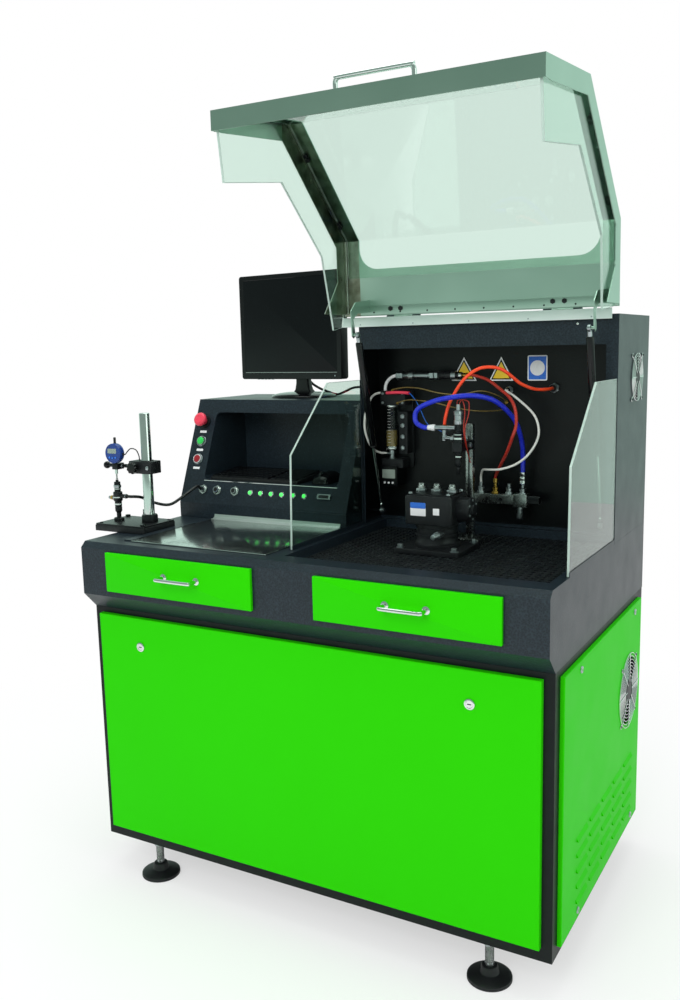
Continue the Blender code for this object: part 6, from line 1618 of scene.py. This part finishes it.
class BENCH_OT_sensor(bpy.types.Operator):
    """Sensor line along the partition: bent tube, union nuts, black sensor and silver end."""

    bl_idname = "bench.sensor"
    bl_label = "Sensor line"

    def execute(self, context):
        y, z = 0.56, 1.296
        bend = [(-0.59, y, 1.296), (-0.606, y, 1.2945), (-0.62, y, 1.2865),
                (-0.6285, y, 1.2755), (-0.6315, y, 1.264), (-0.6315, y, 1.2564)]
        parts = [(tube(smooth_path(bend, 40), 0.0042, 18), "moulded_white")]
        body = mm(0, 0, 7, 0, 7.5, 0.6, 7.5, 30, 6.4, 31, 6.4, 34, 7.5, 35, 7.5, 78, 0, 78)
        put(parts, "zinc_plate", lathe(body, (-0.578, y, z), RIGHT, 36))
        for low, high, across in ((-0.596, -0.577, 0.0205), (-0.5, -0.488, 0.0215),
                                  (-0.486, -0.476, 0.0215)):
            put(parts, "zinc_plate", hexagon((y, z), across, (low, high), "X", 0.001))
        plug = mm(0, 0, 9.2, 0, 10, 1, 10, 15, 9, 16, 9, 19, 10, 20, 10, 42, 8.5, 44, 8.5, 56, 7, 57.5,
                  0, 57.5)
        put(parts, "textured_abs", lathe(plug, (-0.476, y, z), RIGHT, 40))
        end = mm(0, 0, 8.8, 0, 8.8, 7, 5.2, 9.5, 0, 9.7)
        put(parts, "bright_chrome", lathe(end, (-0.4182, y, z), RIGHT, 32))
        for x in (-0.56, -0.44):
            put(parts, "zinc_plate",
                block((x, x + 0.014), (0.562, WALL), (1.29, 1.302), 0.002, 0.0006, "Y"),
                hoop(mm(10.1, -6, 11.6, -6, 11.6, 6, 10.1, 6), (x + 0.007, y, z), "X", 36))
        piece("sensor_line_tube", "bench", parts, ("sensor_line",))
        return {"FINISHED"}


class BENCH_OT_labels(bpy.types.Operator):
    """Blank stickers on the chamber's wall: two yellow triangles and one blue plate."""

    bl_idname = "bench.labels"
    bl_label = "Blank labels"

    def execute(self, context):
        parts = []
        for low, high in ((-0.457, -0.387), (-0.353, -0.288)):
            middle = (low + high) / 2
            corners = np.array([(low, 1.28), (high, 1.28), (middle, 1.341)])
            for draw, front, look in ((0, 0.59955, "moulded_white"), (0.003, 0.5994, "black_oxide"),
                                      (0.0062, 0.59925, "signal_yellow")):
                put(parts, look, slab(inset(corners, draw), front, 0.5999, 0.00005, "Y", 1))
        for draw, front, look in ((0, 0.59955, "moulded_white"), (0.003, 0.5994, "sticker_blue")):
            plate = inset(round_rect((-0.251, -0.2), (1.28, 1.343), 0.004), draw)
            put(parts, look, slab(plate, front, 0.5999, 0.00005, "Y", 1))
        disc = bar((-0.2255, 1.3115), 0.019, (0.59925, 0.5999), "Y", 0.0001, 40)
        put(parts, "moulded_white", disc)
        piece("blank_labels", "bench", parts)
        return {"FINISHED"}


# Hoses and leads

ROUTES = {
    "orange_hose": (0.004, "hose_orange", [
        (-0.396, 0.411, 1.1703), (-0.396, 0.411, 1.182), (-0.392, 0.411, 1.205), (-0.38, 0.412, 1.24),
        (-0.349, 0.417, 1.289), (-0.318, 0.428, 1.314), (-0.29, 0.442, 1.319), (-0.266, 0.458, 1.312),
        (-0.248, 0.475, 1.295), (-0.232, 0.495, 1.277), (-0.208, 0.522, 1.263), (-0.186, 0.548, 1.261),
        (-0.18, 0.566, 1.262), (-0.18, 0.5777, 1.262)]),
    "red_hose": (0.004, "hose_red", [
        (-0.4077, 0.56, 1.296), (-0.396, 0.56, 1.296), (-0.375, 0.556, 1.295), (-0.335, 0.545, 1.284),
        (-0.298, 0.525, 1.264), (-0.262, 0.5, 1.243), (-0.238, 0.472, 1.216), (-0.232, 0.462, 1.18),
        (-0.241, 0.462, 1.151), (-0.262, 0.48, 1.11), (-0.292, 0.518, 1.072), (-0.313, 0.545, 1.046),
        (-0.317, 0.551, 1.034), (-0.317, 0.551, 1.0243)]),
    "blue_hose": (0.006, "hose_blue", [
        (-0.4303, 0.389, 1.176), (-0.442, 0.389, 1.176), (-0.462, 0.387, 1.19), (-0.455, 0.382, 1.219),
        (-0.41, 0.374, 1.24), (-0.357, 0.376, 1.251), (-0.318, 0.4, 1.253), (-0.286, 0.435, 1.243),
        (-0.264, 0.468, 1.22), (-0.249, 0.5, 1.188), (-0.244, 0.525, 1.153), (-0.243, 0.542, 1.118),
        (-0.244, 0.549, 1.086), (-0.245, 0.551, 1.045), (-0.245, 0.551, 1.0243)]),
    "white_hose_right": (0.003, "hose_white", [
        (-0.296, 0.5777, 1.257), (-0.296, 0.566, 1.257), (-0.262, 0.548, 1.24), (-0.215, 0.54, 1.201),
        (-0.198, 0.53, 1.165), (-0.201, 0.522, 1.134), (-0.221, 0.515, 1.101), (-0.25, 0.506, 1.078),
        (-0.285, 0.5, 1.066), (-0.32, 0.512, 1.062), (-0.346, 0.538, 1.057), (-0.356, 0.551, 1.04),
        (-0.356, 0.551, 1.0243)]),
    "white_hose_left": (0.003, "hose_white", [
        (-0.6423, 0.562, 1.25), (-0.651, 0.562, 1.25), (-0.659, 0.552, 1.247), (-0.658, 0.53, 1.24),
        (-0.653, 0.506, 1.228), (-0.653, 0.486, 1.201), (-0.655, 0.482, 1.176), (-0.654, 0.484, 1.151),
        (-0.652, 0.497, 1.124), (-0.653, 0.52, 1.106), (-0.654, 0.544, 1.094), (-0.646, 0.5585, 1.0885),
        (-0.638, 0.5585, 1.0885), (-0.628, 0.5585, 1.0885)]),
    "console_lead": (0.004, "cable_pvc", [
        (-1.144, 0.4033, 0.9866), (-1.144, 0.3962, 0.9894), (-1.144, 0.3832, 0.9946),
        (-1.152, 0.335, 0.975), (-1.172, 0.295, 0.955), (-1.196, 0.255, 0.966), (-1.204, 0.22, 0.984),
        (-1.207, 0.194, 0.99), (-1.214, 0.19, 0.99), (-1.22, 0.19, 0.99), (-1.2277, 0.19, 0.99)]),
}

# Thin lines that only the looks carry: radius, finish and route.
FINE_LINES = {
    "amber_line_upper": (0.0014, "hose_amber", [
        (-0.6028, 0.5477, 1.2586), (-0.598, 0.54, 1.2605), (-0.5589, 0.53, 1.2661), (-0.502, 0.5, 1.265),
        (-0.436, 0.47, 1.2553), (-0.3747, 0.458, 1.2525), (-0.3272, 0.47, 1.2605),
        (-0.3061, 0.51, 1.2512), (-0.2957, 0.56, 1.2335), (-0.304, 0.588, 1.227),
        (-0.3045, 0.5945, 1.2261)]),
    "amber_line_lower": (0.0014, "hose_amber", [
        (-0.5886, 0.5477, 1.2244), (-0.583, 0.54, 1.2262), (-0.5459, 0.52, 1.2342),
        (-0.4977, 0.49, 1.2348), (-0.4377, 0.455, 1.2313), (-0.3895, 0.44, 1.2229),
        (-0.3361, 0.44, 1.215), (-0.3089, 0.49, 1.2106), (-0.2983, 0.56, 1.209), (-0.305, 0.588, 1.2073),
        (-0.3058, 0.5945, 1.207)]),
    "blue_wire": (0.0011, "sticker_blue", [
        (-0.5497, 0.535, 1.2515), (-0.542, 0.53, 1.248), (-0.5183, 0.51, 1.2324),
        (-0.4859, 0.47, 1.2098), (-0.4497, 0.43, 1.1808), (-0.415, 0.418, 1.168),
        (-0.402, 0.411, 1.164)]),
    "red_wire_left": (0.0011, "hose_red", [
        (-0.352, 0.4, 1.23), (-0.3505, 0.4, 1.2385), (-0.3433, 0.4, 1.24), (-0.3366, 0.396, 1.2144),
        (-0.3384, 0.392, 1.1776), (-0.3387, 0.4, 1.1469), (-0.3455, 0.44, 1.1033), (-0.348, 0.46, 1.096),
        (-0.349, 0.4665, 1.095)]),
    "red_wire_right": (0.0011, "hose_red", [
        (-0.358, 0.4, 1.23), (-0.356, 0.4, 1.242), (-0.33, 0.4, 1.24), (-0.326, 0.396, 1.22),
        (-0.3279, 0.394, 1.2027), (-0.334, 0.39, 1.1767), (-0.3353, 0.398, 1.1448),
        (-0.345, 0.446, 1.0926), (-0.348, 0.46, 1.086), (-0.349, 0.4665, 1.085)]),
}

# Cables of the monitor and the mouse, and the lead of the digital indicator.
CABLES = {
    "monitor_cable": (0.0036, "bench", [
        (-0.9515, 0.679, 1.29), (-0.9505, 0.686, 1.286), (-0.944, 0.698, 1.27), (-0.926, 0.708, 1.256),
        (-0.902, 0.714, 1.245), (-0.876, 0.72, 1.237), (-0.856, 0.73, 1.244), (-0.834, 0.744, 1.255),
        (-0.812, 0.76, 1.256), (-0.796, 0.776, 1.248), (-0.79, 0.786, 1.236), (-0.79, 0.788, 1.232)]),
    "mouse_cable": (0.0018, "bench", [
        (-0.79, 0.557, 1.018), (-0.79, 0.564, 1.016), (-0.786, 0.58, 1.012), (-0.776, 0.6, 1.0104),
        (-0.762, 0.616, 1.0104), (-0.748, 0.628, 1.0104), (-0.74, 0.6392, 1.011)]),
    "indicator_lead": (0.0015, "gauge_arm", [
        (-1.232, 0.19, 1.104), (-1.227, 0.19, 1.104), (-1.219, 0.19, 1.112), (-1.208, 0.192, 1.12),
        (-1.195, 0.197, 1.116), (-1.19, 0.201, 1.102), (-1.19, 0.203, 1.092), (-1.19, 0.203, 1.0868)]),
}


def length_of(path):
    """Length of a path of points."""
    return float(np.linalg.norm(np.diff(path, axis=0), axis=1).sum())


def cord(name, route, radius, look, sides, replaces=(), body="bench"):
    """A free hose or lead: its tube."""
    count = int(np.clip(length_of(np.array(route)) / 0.006, 40, 160))
    path = smooth_path(route, count)
    ob = piece(name, body, [(tube(path, radius, sides), look)], replaces)
    path = path + SHIFT


class BENCH_OT_hoses(bpy.types.Operator):
    """Hoses of the test chamber, the injector's lead, and the cables of the desk."""

    bl_idname = "bench.hoses"
    bl_label = "Hoses"

    def execute(self, context):
        sides = context.scene.bench_looks.hose_sides
        for name, (radius, look, route) in ROUTES.items():
            cord(name + "_free", route, radius, look, sides, (name,))
        for name, (radius, look, route) in FINE_LINES.items():
            cord(name, route, radius, look, 10)
        for name, (radius, body, route) in CABLES.items():
            cord(name, route, radius, "cable_pvc", 12, body=body)
        return {"FINISHED"}


class BENCH_OT_fittings(bpy.types.Operator):
    """Crimped sleeves and unions at the ends of the hoses and thin lines."""

    bl_idname = "bench.fittings"
    bl_label = "Hose fittings"

    def execute(self, context):
        parts = []
        for x, z, radius in ((-0.18, 1.262, 0.01), (-0.296, 1.257, 0.008)):
            put(parts, "zinc_plate", nut((x, 0.599, z), FRONT, radius * 2.1, 0.008))
            union = [(0, 0), (radius, 0), (radius, 0.009), (radius * 0.8, 0.011), (0, 0.0112)]
            put(parts, "zinc_plate", lathe(union, (x, 0.5895, z), FRONT, 36))
        crimp = mm(6.2, 0, 8.2, 0.5, 8.2, 8, 7.6, 9, 8.2, 10, 8.2, 18, 7.6, 19, 8.2, 20, 8, 29, 6.2, 30)
        put(parts, "bright_chrome", hoop(crimp, (-0.245, 0.551, 1.025), steps=36))
        small = mm(4.2, 0, 6, 0.5, 6, 11, 4.2, 12)
        for spot, way in (((-0.317, 0.551, 1.0246), UP), ((-0.396, 0.411, 1.1705), UP),
                          ((-0.4079, 0.56, 1.296), RIGHT)):
            put(parts, "brass", aimed(hoop(small, steps=32), spot, way))
        for x, z in ((-0.3045, 1.2261), (-0.3058, 1.207)):
            put(parts, "brass", nut((x, 0.5999, z), FRONT, 0.008, 0.0055))
        for x, z in ((-0.6028, 1.2586), (-0.5886, 1.2244)):
            stub = mm(0, 0, 3.4, 0, 3.4, 5, 2.2, 6.2, 0, 6.4)
            put(parts, "brass", lathe(stub, (x, 0.5485, z - 0.0005), FRONT, 24))
        clip = [(-0.6187, 0.5405, 1.2511), (-0.61, 0.54, 1.2516), (-0.5873, 0.54, 1.2525),
                (-0.568, 0.538, 1.252), (-0.5497, 0.535, 1.2515)]
        put(parts, "signal_red", tube(smooth_path(clip, 24), 0.0042, 16))
        put(parts, "zinc_plate", rod((-0.615, 0.5482, 1.2513), (-0.615, 0.54, 1.2513), 0.003))
        piece("hose_fittings", "bench", parts)
        return {"FINISHED"}


# Dressed CAD pieces

DRESS = {
    "powder_coat_green": ("front_panel", "side_panel_right", "side_panel_left", "back_panel"),
    "hammertone_enamel": ("counter_body", "rear_housing", "console_housing"),
    "black_powder_coat": ("base_frame",),
    "brushed_stainless": ("hood_frame",),
    "painted_casting": ("drive_motor", "oil_tank"),
    "machined_steel": ("drive_coupling",),
}


class BENCH_OT_finishes(bpy.types.Operator):
    """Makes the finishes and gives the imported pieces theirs."""

    bl_idname = "bench.finishes"
    bl_label = "Finishes"

    def execute(self, context):
        make_finishes(context.scene.bench_looks)
        for name, nodes in DRESS.items():
            for node in nodes:
                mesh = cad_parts[node].data
                mesh.materials.clear()
                mesh.materials.append(FINISHES[name])
        return {"FINISHED"}


class BENCH_PT_panel(bpy.types.Panel):
    """Lists the bench's pieces in the sidebar."""

    bl_label = "Test bench"
    bl_idname = "BENCH_PT_panel"
    bl_space_type = "VIEW_3D"
    bl_region_type = "UI"
    bl_category = "Test bench"

    def draw(self, context):
        column = self.layout.column()
        for owner in (context.scene.bench_stage, context.scene.bench_looks):
            for key in owner.__annotations__:
                column.prop(owner, key)
        for operator in OPERATORS:
            column.operator(operator.bl_idname)


OPERATORS = (
    BENCH_OT_stage, BENCH_OT_finishes, BENCH_OT_hoses, BENCH_OT_fittings, BENCH_OT_drawers,
    BENCH_OT_feet, BENCH_OT_locks, BENCH_OT_screws, BENCH_OT_fans, BENCH_OT_worktop,
    BENCH_OT_hood, BENCH_OT_struts, BENCH_OT_buttons, BENCH_OT_console, BENCH_OT_keyboard,
    BENCH_OT_monitor, BENCH_OT_gauge, BENCH_OT_pump, BENCH_OT_injector, BENCH_OT_measuring,
    BENCH_OT_manifold, BENCH_OT_sensor, BENCH_OT_labels,
)
CLASSES = (BenchStageSettings, BenchLooks) + OPERATORS + (BENCH_PT_panel,)


def register():
    for item in CLASSES:
        bpy.utils.register_class(item)
    bpy.types.Scene.bench_stage = PointerProperty(type=BenchStageSettings)
    bpy.types.Scene.bench_looks = PointerProperty(type=BenchLooks)


def unregister():
    del bpy.types.Scene.bench_looks
    del bpy.types.Scene.bench_stage
    for item in reversed(CLASSES):
        bpy.utils.unregister_class(item)


def main():
    register()
    for operator in OPERATORS:
        getattr(bpy.ops.bench, operator.bl_idname.split(".")[1])()
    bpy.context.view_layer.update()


if __name__ == "__main__":
    main()
